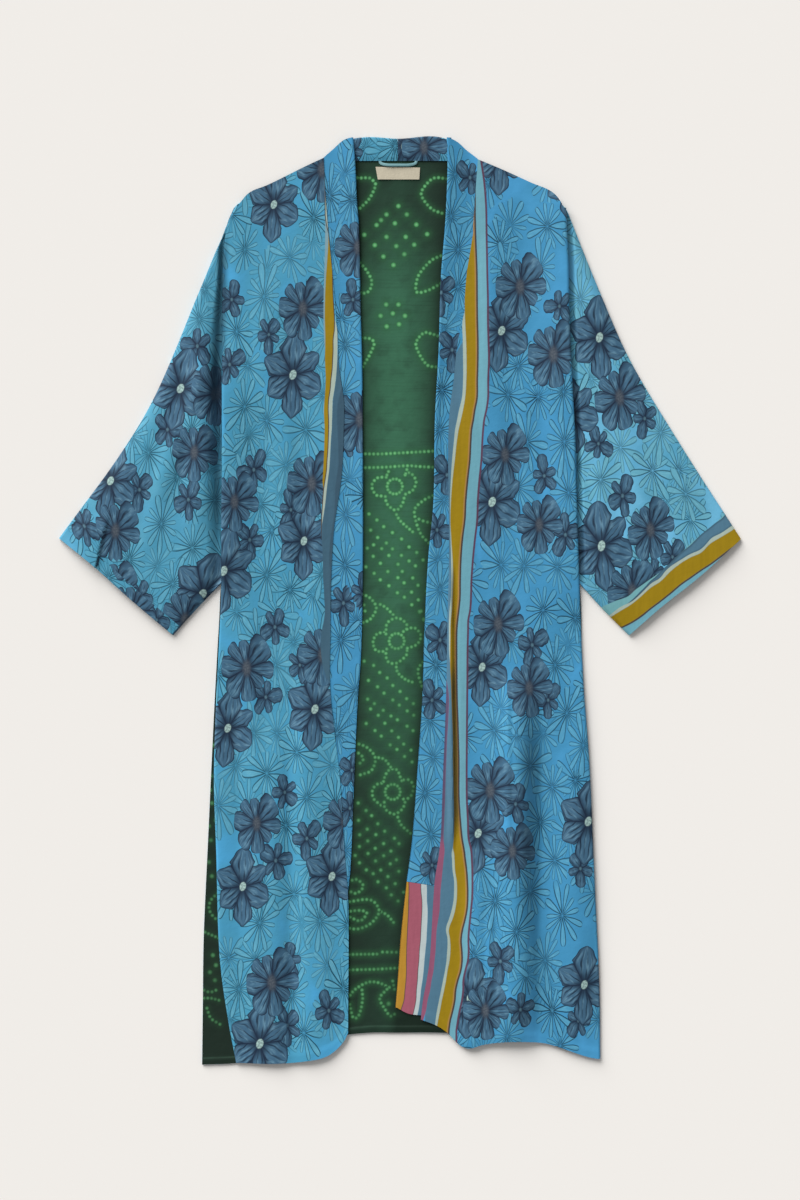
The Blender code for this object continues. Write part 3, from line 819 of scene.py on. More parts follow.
DAISY = Bloom(
    radius=32, petals=11, width=0.122, rise=0.95, fall=0.28, uneven=0.17, phase=0.4, line=0.040,
    body=(0.085, 0.322, 0.470), light=(0.145, 0.415, 0.530),
    shade=(0.018, 0.100, 0.155), edge=(0.006, 0.050, 0.084), stretch=(0.80, 1.16), sway=0.07,
    waver=0.02, cover=0.95, halo=0.50, halo_colour=(0.058, 0.282, 0.435), heart=0.15, faint=0.45)
RIGHT_DAISY = replace(
    DAISY, body=(0.070, 0.288, 0.464), light=(0.122, 0.388, 0.548), edge=(0.004, 0.034, 0.064),
    halo_colour=(0.043, 0.236, 0.430), faint=0.3)
# painted light: paler daisies for the right sleeve, which takes more light
LIT_DAISY = replace(DAISY, body=(0.115, 0.365, 0.490), light=(0.172, 0.440, 0.545), halo=0.3)
POSY_BLOOM = Bloom(
    radius=23, petals=5, width=0.335, rise=0.66, fall=0.38, uneven=0.13, phase=1.1, line=0.045,
    veins=9.0, vein_share=0.8, body=(0.046, 0.122, 0.205), light=(0.104, 0.228, 0.332),
    shade=(0.010, 0.026, 0.050), edge=(0.009, 0.022, 0.049), rim=0.75, heart=0.26, eye=0.09,
    eye_colour=(0.085, 0.180, 0.240), eye_fade=0.6)
STAR_BLOOM = Bloom(
    radius=45, petals=6, width=0.37, rise=0.70, fall=0.70, uneven=0.12, phase=3.04, line=0.022,
    veins=15.0, vein_share=1.0, body=(0.048, 0.124, 0.208), light=(0.114, 0.238, 0.340),
    shade=(0.010, 0.025, 0.049), edge=(0.009, 0.022, 0.049), stretch=(0.97, 1.14), turn=-35,
    rim=0.75, sway=0.10, waver=0.09, eye=0.10, eye_stretch=0.6, eye_colour=(0.34, 0.50, 0.48),
    heart=0.45)
ROUND_BLOOM = Bloom(
    radius=37, petals=8, width=0.305, rise=0.84, fall=0.27, uneven=0.13, phase=0.2, line=0.028,
    veins=13.0, vein_share=1.0, body=(0.046, 0.122, 0.205), light=(0.106, 0.228, 0.328),
    shade=(0.010, 0.024, 0.047), edge=(0.009, 0.021, 0.047), stretch=(0.82, 1.18), rim=0.75,
    sway=0.14, waver=0.06, eye=0.15, eye_stretch=0.5, eye_colour=(0.078, 0.096, 0.120), heart=0.38,
    eye_fade=0.7)


@dataclass(frozen=True)
class Chart:
    """Where the flowers of one cloth lie on the picture, by kind, in pixels.

    More daisies are strewn at the given spread, where they have room. Stars and round flowers
    sway little and are bold. The others turn freely, and each has a seed of its own.
    """

    stars: Line = ()
    rounds: Line = ()
    posies: Line = ()
    daisies: Line = ()
    lean: float = 0.0
    spread: float = 31.0
    room: float = 22.0
    margin: float = 10.0
    stray: float = 3.5
    kept: float = 0.72
    sizes: Pair = (0.9, 1.08)
    sway: float = 0.15
    bold: float = 0.1
    far: float = 9.0

    def strewn(self, corners: Grid) -> Line:
        """More daisies on a staggered lattice over the cloth, where none is charted nearby.

        Args:
            corners: the cloth's places on the print, in mm.

        Returns:
            The charted daisies and the added ones, in picture pixels.
        """
        flat = corners.reshape(-1, 2) / (PIXEL, -PIXEL) + PICTURE_CENTRE
        low, high = flat.min(axis=0) - self.margin, flat.max(axis=0) + self.margin
        draw = np.random.default_rng(12)
        y, x = np.mgrid[low[1]:high[1]:self.spread, low[0]:high[0]:self.spread]
        x = x + (np.arange(len(x)) % 2)[:, None] * self.spread / 2
        spots = np.stack([x.ravel(), y.ravel()], axis=1) + draw.normal(0, self.stray, (x.size, 2))
        kept = draw.uniform(0, 1, len(spots)) < self.kept
        charted = np.array(self.daisies, float).reshape(-1, 2)
        if len(charted):
            near = np.sqrt(((spots[:, None] - charted[None]) ** 2).sum(axis=2)).min(axis=1)
            kept &= near > self.room
        return self.daisies + tuple(map(tuple, spots[kept]))

    def layers(self, daisies: Line = ()) -> tuple[tuple[Layer, Bloom, Line], ...]:
        """Each layer with its bloom and places, from the lowest up.

        Args:
            daisies: places of the daisies. Each joins the layer whose nearest daisy is farthest
                away, so that they can overlap without cutting each other off.

        Returns:
            The layers.
        """
        groups: tuple[list[Pair], ...] = ([], [], [])
        for spot in daisies:
            wide, tall = DAISY.stretch
            room = [min((((x - spot[0]) / wide) ** 2 + ((y - spot[1]) / tall) ** 2
                         for x, y in group), default=1e9) for group in groups]
            groups[room.index(max(room))].append(spot)
        first, second, third = (tuple(group) for group in groups)
        return ((Layer.DAISY_FIRST, DAISY, first), (Layer.DAISY_SECOND, DAISY, second),
                (Layer.DAISY_THIRD, DAISY, third),
                (Layer.POSY, POSY_BLOOM, self.posies), (Layer.STAR, STAR_BLOOM, self.stars),
                (Layer.ROUND, ROUND_BLOOM, self.rounds))

    def lay(self, piece: Piece) -> None:
        """Give each corner its coordinates in the nearest flower of each layer.

        Args:
            piece: the sewn cloth. A face takes the flower nearest its middle, and its corners
                get their x, y from that flower, turned with it and over its radius.
        """
        draw = np.random.default_rng(len(self.daisies) + 3)
        middle = piece.corners.mean(axis=1)
        for layer, bloom, places in self.layers(self.strewn(piece.corners) if self.daisies else ()):
            values = np.full((*piece.corners.shape[:2], 3), self.far)
            if places:
                spots = on_robe(places)
                loose = layer not in (Layer.STAR, Layer.ROUND)
                turns = draw.uniform(0, tau if loose else self.sway, len(spots))
                turns = radians(self.lean + bloom.turn) + turns
                sizes = bloom.radius * draw.uniform(*self.sizes, len(spots))
                seeds = draw.uniform(0, 1, len(spots)) if loose else np.full(len(spots), self.bold)
                near = ((middle[:, None] - spots[None]) ** 2).sum(axis=2).argmin(axis=1)
                away = (piece.corners - spots[near][:, None]) / bloom.stretch
                c, s, size = (each[near][:, None] for each in (np.cos(turns), np.sin(turns), sizes))
                values[..., 0] = (away[..., 0] * c + away[..., 1] * s) / size
                values[..., 1] = (away[..., 1] * c - away[..., 0] * s) / size
                values[..., 2] = seeds[near][:, None]
            piece.mark(layer.value, values)


@dataclass(frozen=True)
class Stripe:
    """A printed stripe between two charted edges, each moved along by its shift in mm.

    It fades out below and above its reach, a pair of heights on the robe in mm.
    """

    start: int
    end: int
    colour: Colour
    start_shift: float = 0.0
    end_shift: float = 0.0
    soft: float = 0.55
    reach: Pair | None = None
    fade: float = 8.0


@dataclass(frozen=True)
class Border:
    """A striped border: its edges on the picture, what is between, and its turn in degrees."""

    edges: tuple[Line, ...] = ()
    stripes: tuple[Stripe, ...] = ()
    turn: float = 0.0

    def lay(self, piece: Piece) -> None:
        """Give each corner its distance in mm past every edge, three edges to an attribute.

        Args:
            piece: the sewn cloth. Edges run up the picture when the turn is 0, and a
                distance is x less the edge's x at the same y, both turned.
        """
        c, s = cos(radians(self.turn)), sin(radians(self.turn))
        turned = np.array([[c, -s], [s, c]])
        spots = piece.corners @ turned
        distances = []
        for edge in self.edges:
            known = on_robe(edge) @ turned
            known = known[np.argsort(known[:, 1])]
            y = np.clip(spots[..., 1], known[0, 1], known[-1, 1])
            line = smooth(known[:, 1], known[:, 0], y.ravel()).reshape(y.shape)
            distances.append(spots[..., 0] - line)
        while len(distances) % 3:
            distances.append(np.zeros_like(distances[0]))
        for group in range(0, len(distances), 3):
            piece.mark(f"edges_{group // 3}", np.stack(distances[group:group + 3], axis=-1))

    def draw(self, dye: Dye) -> None:
        """Paint each stripe where its two edges enclose it, a little worn along the warp."""
        inks: list[Ink] = []
        for group in range(0, len(self.edges), 3):
            inks += dye.attribute(f"edges_{group // 3}")
        if self.stripes:
            worn = dye.noise(240.0, 2.0, stretch=(1, 0.1, 1)).ramp(0.25, 0.85) * 0.25
        for stripe in self.stripes:
            darker = tuple(0.66 * part for part in stripe.colour)
            after = (inks[stripe.start] - stripe.start_shift).ramp(-stripe.soft, stripe.soft)
            before = (inks[stripe.end] - stripe.end_shift).ramp(stripe.soft, -stripe.soft)
            share = after * before
            if stripe.reach:
                foot, head, fade = stripe.reach[0] * MM, stripe.reach[1] * MM, stripe.fade * MM
                up = dye.split(dye.place)[1]
                share = share * up.ramp(foot - fade, foot + fade) * up.ramp(head + fade, head - fade)
            dye.paint(dye.blend(stripe.colour, darker, worn), share)


AZURE = (0.064, 0.334, 0.598)
DEEP_AZURE = (0.056, 0.282, 0.455)
RIGHT_AZURE = (0.060, 0.300, 0.565)
RIGHT_DEEP = (0.047, 0.247, 0.445)
SLEEVE_AZURE = (0.089, 0.339, 0.536)
SLEEVE_DEEP = (0.080, 0.305, 0.432)
# painted light: paler ground for the right sleeve, which takes more light
LIT_SLEEVE_AZURE = (0.138, 0.440, 0.680)
LIT_SLEEVE_DEEP = (0.126, 0.405, 0.600)
# painted shade: the dark blue laid on the silk in its creases
PAINTED_CREASE_SHADE = (0.005, 0.021, 0.044)
MUSTARD = (0.300, 0.195, 0.0035)
OCHRE = (0.360, 0.200, 0.060)
PALE = (0.370, 0.455, 0.395)
GREY = (0.200, 0.330, 0.380)
SLATE = (0.074, 0.176, 0.262)
DEEP_SLATE = (0.050, 0.120, 0.180)
DARK_SLATE = (0.038, 0.088, 0.135)
LIGHT_BLUE = (0.140, 0.360, 0.450)
TEAL = (0.160, 0.390, 0.430)
MAROON = (0.095, 0.042, 0.080)
UMBER = (0.060, 0.042, 0.038)
# painted shade: the mustard darkened where the tuck shades it
TUCK_SHADED_MUSTARD = (0.115, 0.080, 0.014)
MAUVE = (0.098, 0.070, 0.135)
MAGENTA = (0.265, 0.085, 0.155)
PINK = (0.345, 0.095, 0.140)
ORANGE = (0.430, 0.225, 0.026)
WHITE = (0.455, 0.535, 0.545)


@dataclass(frozen=True)
class PrintedSilk:
    """The blue flowered silk, and the border that some of its panels carry."""

    name: str
    border: Border = Border()
    ground: Colour = AZURE
    deep: Colour = DEEP_AZURE
    daisy: Bloom = DAISY

    def material(self) -> bpy.types.Material:
        """Mix the ground, the flowers from the lowest layer up, the border and the painted shade in the
        creases, once for a name.
        """
        if self.name in bpy.data.materials:
            return bpy.data.materials[self.name]
        dye = Dye(self.name, self.ground)
        dye.paint(self.deep, dye.noise(13.0, 2.0).ramp(0.34, 0.60) * 0.85)
        for layer, bloom, _ in Chart().layers():
            (self.daisy if bloom is DAISY else bloom).draw(dye, layer)
        self.border.draw(dye)
        # painted shade in the creases, by the crease attribute's share
        dye.paint(PAINTED_CREASE_SHADE, dye.attribute("crease")[0])
        return dye.finish(SILK_FINISH)


@dataclass(frozen=True)
class DottedCotton:
    """The green tie-dyed lining: paler in its middle, with painted shade towards and beside the bands,
    and small light dots and their glow.
    """

    name: str = "dotted_lining"
    deep: Colour = (0.0092, 0.0210, 0.0145)
    # painted shade: the colour laid where the bands shadow the lining
    painted_shade: Colour = (0.0035, 0.0110, 0.0065)
    middle: Colour = (0.036, 0.132, 0.076)
    glow: Colour = (0.026, 0.120, 0.044)
    dot: Colour = (0.080, 0.330, 0.115)
    speck: Colour = (0.230, 0.480, 0.270)

    def material(self) -> bpy.types.Material:
        """Mix the ground by the shade attribute, then the glow, the dots of both layers and the painted
        shadow beside the bands.
        """
        dye = Dye(self.name, self.deep)
        shade, glow, band_shadow_share = dye.attribute("ground")
        # the middle colour by its share: its fall towards the bands is painted shade
        dye.paint(self.middle, shade)
        dye.paint(self.deep, dye.noise(40.0, 3.0).ramp(0.45, 0.75) * 0.35)
        dye.paint(self.deep, dye.noise(420.0, 2.0, stretch=(0.05, 1, 1)).ramp(0.45, 0.8) * 0.2)
        dye.paint(self.glow, glow)
        for name in ("dots_even", "dots_odd"):
            x, y, seed = dye.attribute(name)
            away = (x ** 2.0 + y ** 2.0).reckon("SQRT")
            dye.paint(self.dot, away.ramp(1.10, 0.55) * seed)
            dye.paint(self.speck, away.ramp(0.65, 0.1) * seed * 0.6)
        # painted shadow of the bands on the lining
        dye.paint(self.painted_shade, band_shadow_share)
        return dye.finish(LINING_FINISH)


@dataclass(frozen=True)
class PlainWeave:
    """A plain woven cloth of one colour, for the label and the loop."""

    name: str
    colour: Colour
    finish: Cloth = LABEL_FINISH
    mottle: float = 0.25

    def material(self) -> bpy.types.Material:
        """Mix the colour with a darker one in fine threads."""
        dye = Dye(self.name, self.colour)
        darker = tuple(0.6 * part for part in self.colour)
        dye.paint(darker, dye.noise(700.0, 2.0, stretch=(1, 0.2, 1)).ramp(0.35, 0.8) * self.mottle)
        return dye.finish(self.finish)


# Flower places on the picture, in pixels. The back's are in rows
LEFT_FRONT_CHART = Chart(
    stars=((274, 205), (293, 375), (304, 541), (315, 709), (332, 876), (224, 571), (228, 728),
        (243, 886), (260, 1043)), rounds=((303, 309), (312, 484), (322, 655), (235, 502), (247, 668),
        (257, 823), (272, 982), (345, 822), (322, 170)), posies=((269, 335), (232, 300), (230, 365),
        (254, 470), (250, 540), (291, 510), (275, 627), (266, 697), (300, 665), (285, 792), (276, 860),
        (307, 838), (288, 960), (287, 1025), (329, 1010)), daisies=((245, 250), (290, 258), (314, 218),
        (264, 297), (237, 332), (248, 366), (245, 407), (267, 421), (306, 430), (240, 455), (286, 465),
        (261, 504), (272, 530), (267, 575), (290, 590), (313, 594), (237, 612), (276, 665), (285, 690),
        (277, 733), (297, 752), (332, 765), (236, 765), (267, 773), (307, 797), (286, 825), (260, 922),
        (302, 922), (229, 957), (327, 965), (292, 995), (304, 1032), (330, 180), (232, 215), (320, 920),
        (258, 640)))
RIGHT_FRONT_CHART = Chart(
    stars=((501.5, 331), (492, 502), (482, 667), (478, 833), (470, 997), (588, 821), (584, 984),
        (500, 156), (572, 180)), rounds=((520, 287), (505, 455), (498, 624), (490, 790), (485, 1010),
        (553, 355), (539, 525), (529, 688), (512, 850)), posies=((559, 307), (544, 476), (565, 535),
        (532, 645), (548, 700), (515, 803), (580, 868), (500, 960), (520, 1008), (578, 1020)),
    daisies=((510, 226), (547, 227), (540, 268), (508, 395), (538, 397), (527, 442), (564, 442),
        (568, 493), (501, 565), (524, 566), (557, 567), (543, 610), (575, 618), (555, 665), (494, 730),
        (543, 733), (530, 765), (583, 745), (552, 787), (540, 822), (562, 915), (516, 930), (525, 973),
        (507, 1035), (590, 690), (530, 890), (545, 960), (560, 1045), (495, 900), (575, 780),
        (500, 245), (552, 1010)))
LEFT_SLEEVE_CHART = Chart(
    stars=((181, 389), (111, 481), (203, 594)), rounds=((195, 453), (116, 531), (115, 590), (185, 620),
        (216, 394)), posies=((198, 347), (168, 430), (140, 490), (189, 500), (140, 597), (80, 525)),
    daisies=((149, 453), (178, 477), (162, 524), (193, 548), (158, 566), (200, 320), (150, 600),
        (130, 560), (92, 555), (205, 290), (165, 395), (215, 500)), lean=-12)
RIGHT_SLEEVE_CHART = Chart(
    stars=((599, 338), (601, 546), (571, 414)), rounds=((619, 398), (650, 530), (632, 592)),
    posies=((644, 419), (598, 444), (622, 496), (652, 574), (672, 557)), daisies=((620, 448),
        (652, 471), (685, 494), (600, 480), (690, 520), (580, 300), (575, 500), (640, 560), (665, 500),
        (600, 590), (585, 250)), lean=12)
LEFT_BAND_CHART = Chart(
    rounds=((358, 248), (360, 420)), posies=((353, 300), (346, 441), (343.5, 603), (363, 594),
        (352, 770), (350, 808)), daisies=((345, 175), (350, 205), (345, 345), (343, 393), (350, 480),
        (346, 515), (345, 565), (341, 640), (356, 690), (348, 715), (337, 733), (345, 850), (352, 200),
        (342, 320)))
RIGHT_BAND_CHART = Chart(
    posies=((441, 293), (470, 178), (452, 350), (447, 475), (437, 530), (440, 640), (432, 700),
        (432, 865)), daisies=((451, 217), (458, 250), (458, 287), (455, 315), (444, 330), (442, 390),
        (440, 430), (444, 500), (440, 590), (438, 560), (436, 665), (433, 757), (425, 793), (431, 834),
        (430, 720), (455, 175)))
NECK_LEFT_CHART = Chart(
    posies=((352, 152),), daisies=((366, 148), (384, 152), (395, 146)))
NECK_RIGHT_CHART = Chart(
    stars=((405, 146),), rounds=((424, 148),), daisies=((440, 150),))
BACK_CHART = Chart(
    stars=tuple((230 + 112 * i + 8 * j, 210 + 168 * j) for i in range(4) for j in range(6)),
    rounds=tuple((278 + 112 * i + 8 * j, 300 + 168 * j) for i in range(4) for j in range(5)),
    posies=tuple((250 + 112 * i + 8 * j, 270 + 168 * j) for i in range(4) for j in range(5)),
    daisies=tuple((240 + 56 * i + 8 * j, 230 + 52 * j) for i in range(7) for j in range(17)))

# Edges of the printed stripes, each as picture x, y points
LEFT_FRONT_BORDER = Border(
    edges=(
        ((324.4, 160), (324.8, 200)) + down(230, 20, 325.3, 325, 324.5, 323.9, 323.6, 323.8)
         + ((324.6, 345), (327, 360), (327, 700)),
        ((326.8, 160), (327.2, 200), (328.5, 230), (328.3, 245), (327.6, 256), (326.6, 270))
         + down(280, 20, 325.9, 325.1, 324.9, 325.4, 325, 325.8) + ((325, 395), (324, 410),
         (324.7, 430), (324.3, 445), (323.8, 460), (323.2, 472), (322.8, 484), (323.6, 490),
         (325, 500)),
        ((325, 215), (327, 228), (330.5, 240), (331.8, 256), (332.5, 270), (332.6, 285),
         (333.2, 300)) + down(320, 10, 334.3, 334.2, 333, 333, 332.5, 332, 330.8, 330, 328.5, 328.1,
         328.5, 328.5, 328.2, 327.8, 327, 326.4, 325, 323.5, 322.7, 322, 321.5) + ((321.3, 535),),
        ((332, 312),) + down(320, 10, 335, 337.2, 337.5, 337.5, 337.3, 336.8, 335.8, 334.5, 332.8,
         332.5, 332.2, 331.8, 331, 330.5, 330, 329.3, 328, 326.8, 325.8, 324.5, 323)
         + ((320.5, 532), (319, 545)),
        ((345, 150), (342, 300), (339.5, 320), (338.3, 345)) + down(360, 10, 337.5, 336.8, 336,
         334.6, 333, 332.6, 332.2, 331.9, 331.1, 330.6, 330.1, 329.4, 328.1, 326.9, 325.9, 324.6,
         323, 321.6, 322, 322.5, 322.8) + ((323.2, 575),) + down(590, 10, 324, 324.4, 325, 324, 322,
         321, 321, 322, 324, 328, 334) + ((350, 705), (380, 1070)),
        ((350, 370), (343, 385), (338.5, 400), (338, 440)) + down(455, 10, 338.5, 338.6, 337, 335.6)
         + down(500, 10, 335, 334.5, 333.5, 331.8, 330.5, 329.6, 329.2, 330) + ((330, 590),
         (331, 600), (334, 612), (345, 630), (380, 1070))),
    stripes=(Stripe(0, 1, GREY), Stripe(2, 3, PALE), Stripe(4, 4, DEEP_SLATE, 0, 40),
             Stripe(5, 5, DARK_SLATE, 0, 40, 1.2), Stripe(1, 2, MUSTARD),
             Stripe(2, 2, UMBER, -0.4, 0.8, 0.4, (90, 700), 15)))
RIGHT_FRONT_BORDER = Border(
    edges=(
        ((475, 325), (464, 340), (458, 350), (450, 365), (440, 385), (430, 600), (425, 1025)),
        ((425, 600), (438, 660), (444.5, 674), (448, 690)) + down(720, 20, 448, 446.8, 446, 445.3,
         444.8, 444, 443.5) + down(850, 10, 444.5, 443.5, 442.5, 441.5, 440.5, 440, 439.5, 438,
         436.5, 436, 435.5, 434.5, 433.5, 431.5, 430, 427.5, 426, 423),
        ((478, 165), (477, 205), (475.2, 218), (474.4, 228)) + down(240, 20, 472.6, 469.1, 466.1,
         465.2) + ((464.8, 310), (462.5, 321)) + down(340, 20, 462.7, 463, 463, 461.5)
         + down(410, 10, 459, 457, 455, 454) + down(460, 20, 452, 450.8, 450, 450, 450.5, 451, 451,
         450.5) + ((449.5, 610), (449, 620), (448.9, 640), (449.2, 655), (450.2, 665))
         + down(680, 20, 451, 451.7, 452.5, 453.2, 453.2, 453.7) + ((453.7, 840), (452.5, 848),
         (451.7, 852)) + down(860, 10, 452, 452.5, 454, 454, 453.5, 451.5, 448.5) + ((446.3, 926),
         (446, 931), (447.3, 937), (447.5, 945), (447, 952)) + down(960, 10, 446.5, 445, 443, 441,
         439, 437, 435.5, 434),
        ((477, 165), (476.4, 205), (474.9, 218), (474, 228)) + down(240, 20, 472, 468.5, 465.5,
         464.6, 465, 466, 466.5, 466.3, 464.8) + down(410, 10, 463, 460.8, 458.5, 457)
         + down(460, 20, 454.8, 452.5, 451, 450.3, 451.3, 452.6, 453, 452.3) + ((451.8, 610),
         (450.7, 620), (450.2, 640), (450, 655), (450, 665)) + down(680, 20, 450.8, 451.5, 452.3,
         453, 453, 453.5) + ((453.5, 840), (453, 848), (454, 853)) + down(860, 10, 454.5, 455,
         456.5, 457, 456.5, 455, 452) + ((449.5, 926), (448.7, 931), (449.7, 937), (450.4, 945),
         (450.3, 952)) + down(960, 10, 449.5, 447.5, 446, 444, 441.8, 440, 438, 436.5),
        ((472.9, 160), (474, 190), (474.3, 218), (474.9, 240), (476, 270)) + down(300, 20, 476.3,
         476.5, 477, 477, 476.5, 476) + down(410, 10, 474, 472.5, 470.7, 470) + down(460, 20, 469,
         466.8, 465, 464, 461.5, 460, 459.4, 459) + ((458, 610), (456.8, 620), (456, 630),
         (455.8, 650)) + down(680, 20, 456, 456.3, 457, 457.5, 458) + ((458.2, 800), (459.5, 820))
         + down(840, 10, 461.5, 463.3, 464.5, 465.8, 466.5) + ((466.9, 895),) + down(910, 10, 466,
         464, 461.5, 460.3, 461, 461.3, 460, 457, 454.8, 454, 452, 449.5, 448),
        ((480, 160), (483, 180), (484.8, 200), (485.8, 240)) + down(280, 20, 486.5, 487, 487, 487.5,
         488, 487.2, 487) + down(410, 10, 485.5, 483.3, 482.2, 481.5) + down(460, 20, 480.5, 478.5,
         477, 476.3, 474, 472, 470.6, 470) + ((469.3, 610), (467.4, 620), (467.2, 630),
         (466.7, 650), (466.5, 680), (466.3, 700), (466, 740)) + down(780, 20, 465.8, 466, 467, 468)
         + ((470.3, 850), (471, 860), (471.5, 880)) + down(900, 10, 471, 470, 469, 468, 467.5,
         467.8, 467, 464.5, 462.5, 462.3, 461, 458.8, 457, 455.5)),
    stripes=(Stripe(0, 2, SLATE), Stripe(1, 1, MAGENTA, -60, 0),
             Stripe(1, 1, MAUVE, -60, 0, 0.9, (-322, 700), 10), Stripe(2, 3, PALE),
             Stripe(3, 4, MUSTARD), Stripe(4, 4, OCHRE, -2.0, 0.0, 0.8),
             # the mustard stripe darkened by painted shade of the tuck between these heights
             Stripe(3, 4, TUCK_SHADED_MUSTARD, 0.3, -0.5, 1.2, (-302, -95), 25),
             Stripe(4, 4, UMBER, -0.2, 2.2, 0.5), Stripe(4, 5, LIGHT_BLUE, 2.2, 0),
             Stripe(5, 5, MAROON, -0.2, 2.4, 0.7)))
CUFF_BORDER = Border(
    edges=(
        ((727, 512), (722, 518), (715, 523), (710, 527), (700, 535), (690, 545), (680, 553),
         (672, 561), (665, 567), (660, 572), (655, 577), (650, 581), (645, 586.5), (640, 591.5),
         (632, 599.5), (624, 606), (612, 616)),
        ((740, 520), (730.5, 526.5), (720, 533.5), (712, 537.5), (703, 547), (700, 549.5),
         (690, 554), (680, 560), (670, 566.5), (665, 571), (660, 577.5), (650, 584), (645, 589),
         (640, 594), (632, 601), (620, 607), (609, 615.5)),
        ((742, 523), (733, 529.5), (720, 537.5), (710, 543.5), (700, 553), (690, 557.5),
         (680, 563.5), (670, 571.5), (660, 581.5), (650, 588), (640, 597), (630, 605), (620, 611),
         (609, 618)),
        ((750, 533.5), (741, 541), (730, 548.5), (720, 556), (710, 563.5), (700, 570), (690, 577),
         (680, 584), (670, 592.5), (660, 600.5), (650, 608), (640, 616), (630, 622.5), (621, 627),
         (610, 632)),
        ((727, 512), (715, 523), (700, 535), (680, 553), (660, 572), (650, 579), (643, 584),
         (636, 589), (628, 596), (615, 601), (603, 606))),
    stripes=(Stripe(4, 0, TEAL), Stripe(0, 1, DARK_SLATE), Stripe(0, 1, SLATE, 1.5, -1.0, 2.0),
             Stripe(1, 2, PALE), Stripe(2, 3, MUSTARD), Stripe(3, 3, UMBER, -0.2, 2.0),
             Stripe(3, 3, LIGHT_BLUE, 2.0, 60)),
    turn=-49.4)
BAND_END_BORDER = Border(
    edges=(
        ((408.7, 878),) + down(890, 10, 409, 408.7, 408.5, 408, 407.5, 407, 406.7, 406.5, 406.5,
         406, 405, 404) + ((401.5, 1008), (399, 1016)),
        ((421, 878),) + down(890, 10, 421, 422, 422, 421.5, 421, 420.5, 419.5, 419, 418, 417.5,
         416.5, 416, 414) + ((412, 1018),),
        ((426.5, 878),) + down(890, 10, 427, 427, 427.7, 427.5, 427, 426.5, 425.5, 424.5, 423.7,
         422.5, 421, 420, 418.5, 416)),
    stripes=(Stripe(0, 0, ORANGE, -60, 0), Stripe(0, 1, PINK), Stripe(0, 0, UMBER, -0.5, 0.4, 0.6),
             Stripe(1, 2, WHITE), Stripe(1, 1, UMBER, -0.5, 0.3, 0.5), Stripe(2, 2, SLATE, 0, 60)))


def stand_for(piece: Piece, node: str, material: bpy.types.Material,
              area: float | None = None) -> Thing:
    """Give a piece its material, and let it stand for one solid of the robe.

    Args:
        piece: the sewn cloth.
        node: the solid that it replaces.
        material: the finished material.
        area: the flat cloth's area in square metres, where its cut isn't a rectangle. Not used.

    Returns:
        The piece's object.
    """
    thing = piece.thing
    thing.data.materials.append(material)
    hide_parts(node)
    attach(thing, "root")
    LOG.info("%s for %s: %d faces", thing.name, node, len(thing.data.polygons))
    return thing


@dataclass(kw_only=True)
class Panel:
    """A printed cloth of the robe: the solid it stands for, its flowers, its silk and its cut."""

    node: str
    chart: Chart
    silk: PrintedSilk
    cut: Pair = (0.0, 0.0)
    # folds whose heights are shares of shade painted into the silk's creases
    creases: tuple[Fold, ...] = ()
    slot: str = "printed_silk"
    under: str = "back_lining"

    def build(self) -> Piece:
        """Work out the cloth and sew it, each kind of panel in its own way."""
        raise NotImplementedError

    def area(self) -> float | None:
        """Flat area in square metres, or None where the cut is a rectangle."""
        return None

    def dress(self) -> Thing:
        """Print the cloth, paint shade into its creases, and stand it for its solid."""
        piece = self.build()
        self.chart.lay(piece)
        if self.creases:
            piece.shade(self.creases)
        self.silk.border.lay(piece)
        return stand_for(piece, self.node, self.silk.material(),
                         self.area())


@dataclass(kw_only=True)
class Front(Panel):
    """A front panel: its outline and folds, and the edge that rolls down over the sleeve.

    The roll's floor rises from the back to the sleeve's own height above the underarm.
    """

    outline: Outline
    folds: tuple[Fold, ...]
    columns: int = 72
    rows: int = 340
    crowding: float = 1.25
    ripple: Ripple = Ripple(height=0.75)
    flat_seam: float = 5.0
    hem: float = 12.0
    hem_rise: float = 0.6
    hem_step: float = 2.0
    least: float = 3.7
    over_band: float = 1.5
    blend: float = 30.0
    floor: Change = Change(8, 38, 3.1, 4.7)
    turned_area: float = 0.012

    def area(self) -> float:
        """Area of the outline and of what is turned under at its side and hem."""
        return self.outline.area() + self.turned_area

    def height(self, x: Grid, y: Grid) -> Grid:
        """Height of the upper face: its base, the ripple and every fold."""
        from_seam = np.abs(x - read_line(self.outline.right, y))
        loose = smoothstep((from_seam - self.flat_seam) / self.blend)
        total = FRONT_TOP + self.ripple.rise(x, y) * loose
        for fold in self.folds:
            total = total + fold.rise(x, y)
        return total

    def build(self) -> Piece:
        """Fill the outline, lift it by its folds, and roll its side edge down.

        Returns:
            The sewn panel. Its hem and seam edge are pressed flat near the cloth below.
        """
        left, out = self.outline.left_edge(self.rows)
        floor = self.floor.at(left[:, 1])
        inset = FRONT_ROLL.inset(left, out, self.height(left[:, 0], left[:, 1]), floor)
        plan = self.outline.grid(self.columns, self.rows, self.crowding, inset)
        from_hem = np.linalg.norm(plan - plan[:1], axis=2)
        from_seam = np.linalg.norm(plan - plan[:, -1:], axis=2)
        z = self.height(plan[..., 0], plan[..., 1])
        z = z + self.hem_rise * (1 - smoothstep((from_hem - self.hem) / self.hem_step))
        z = np.maximum(z, self.least + self.over_band * (from_seam < LAP + 1.0))
        face = FRONT_ROLL.carry(Face(np.dstack([plan, z]), plan), out, floor)
        return sew(self.node + "_silk", face, SILK)


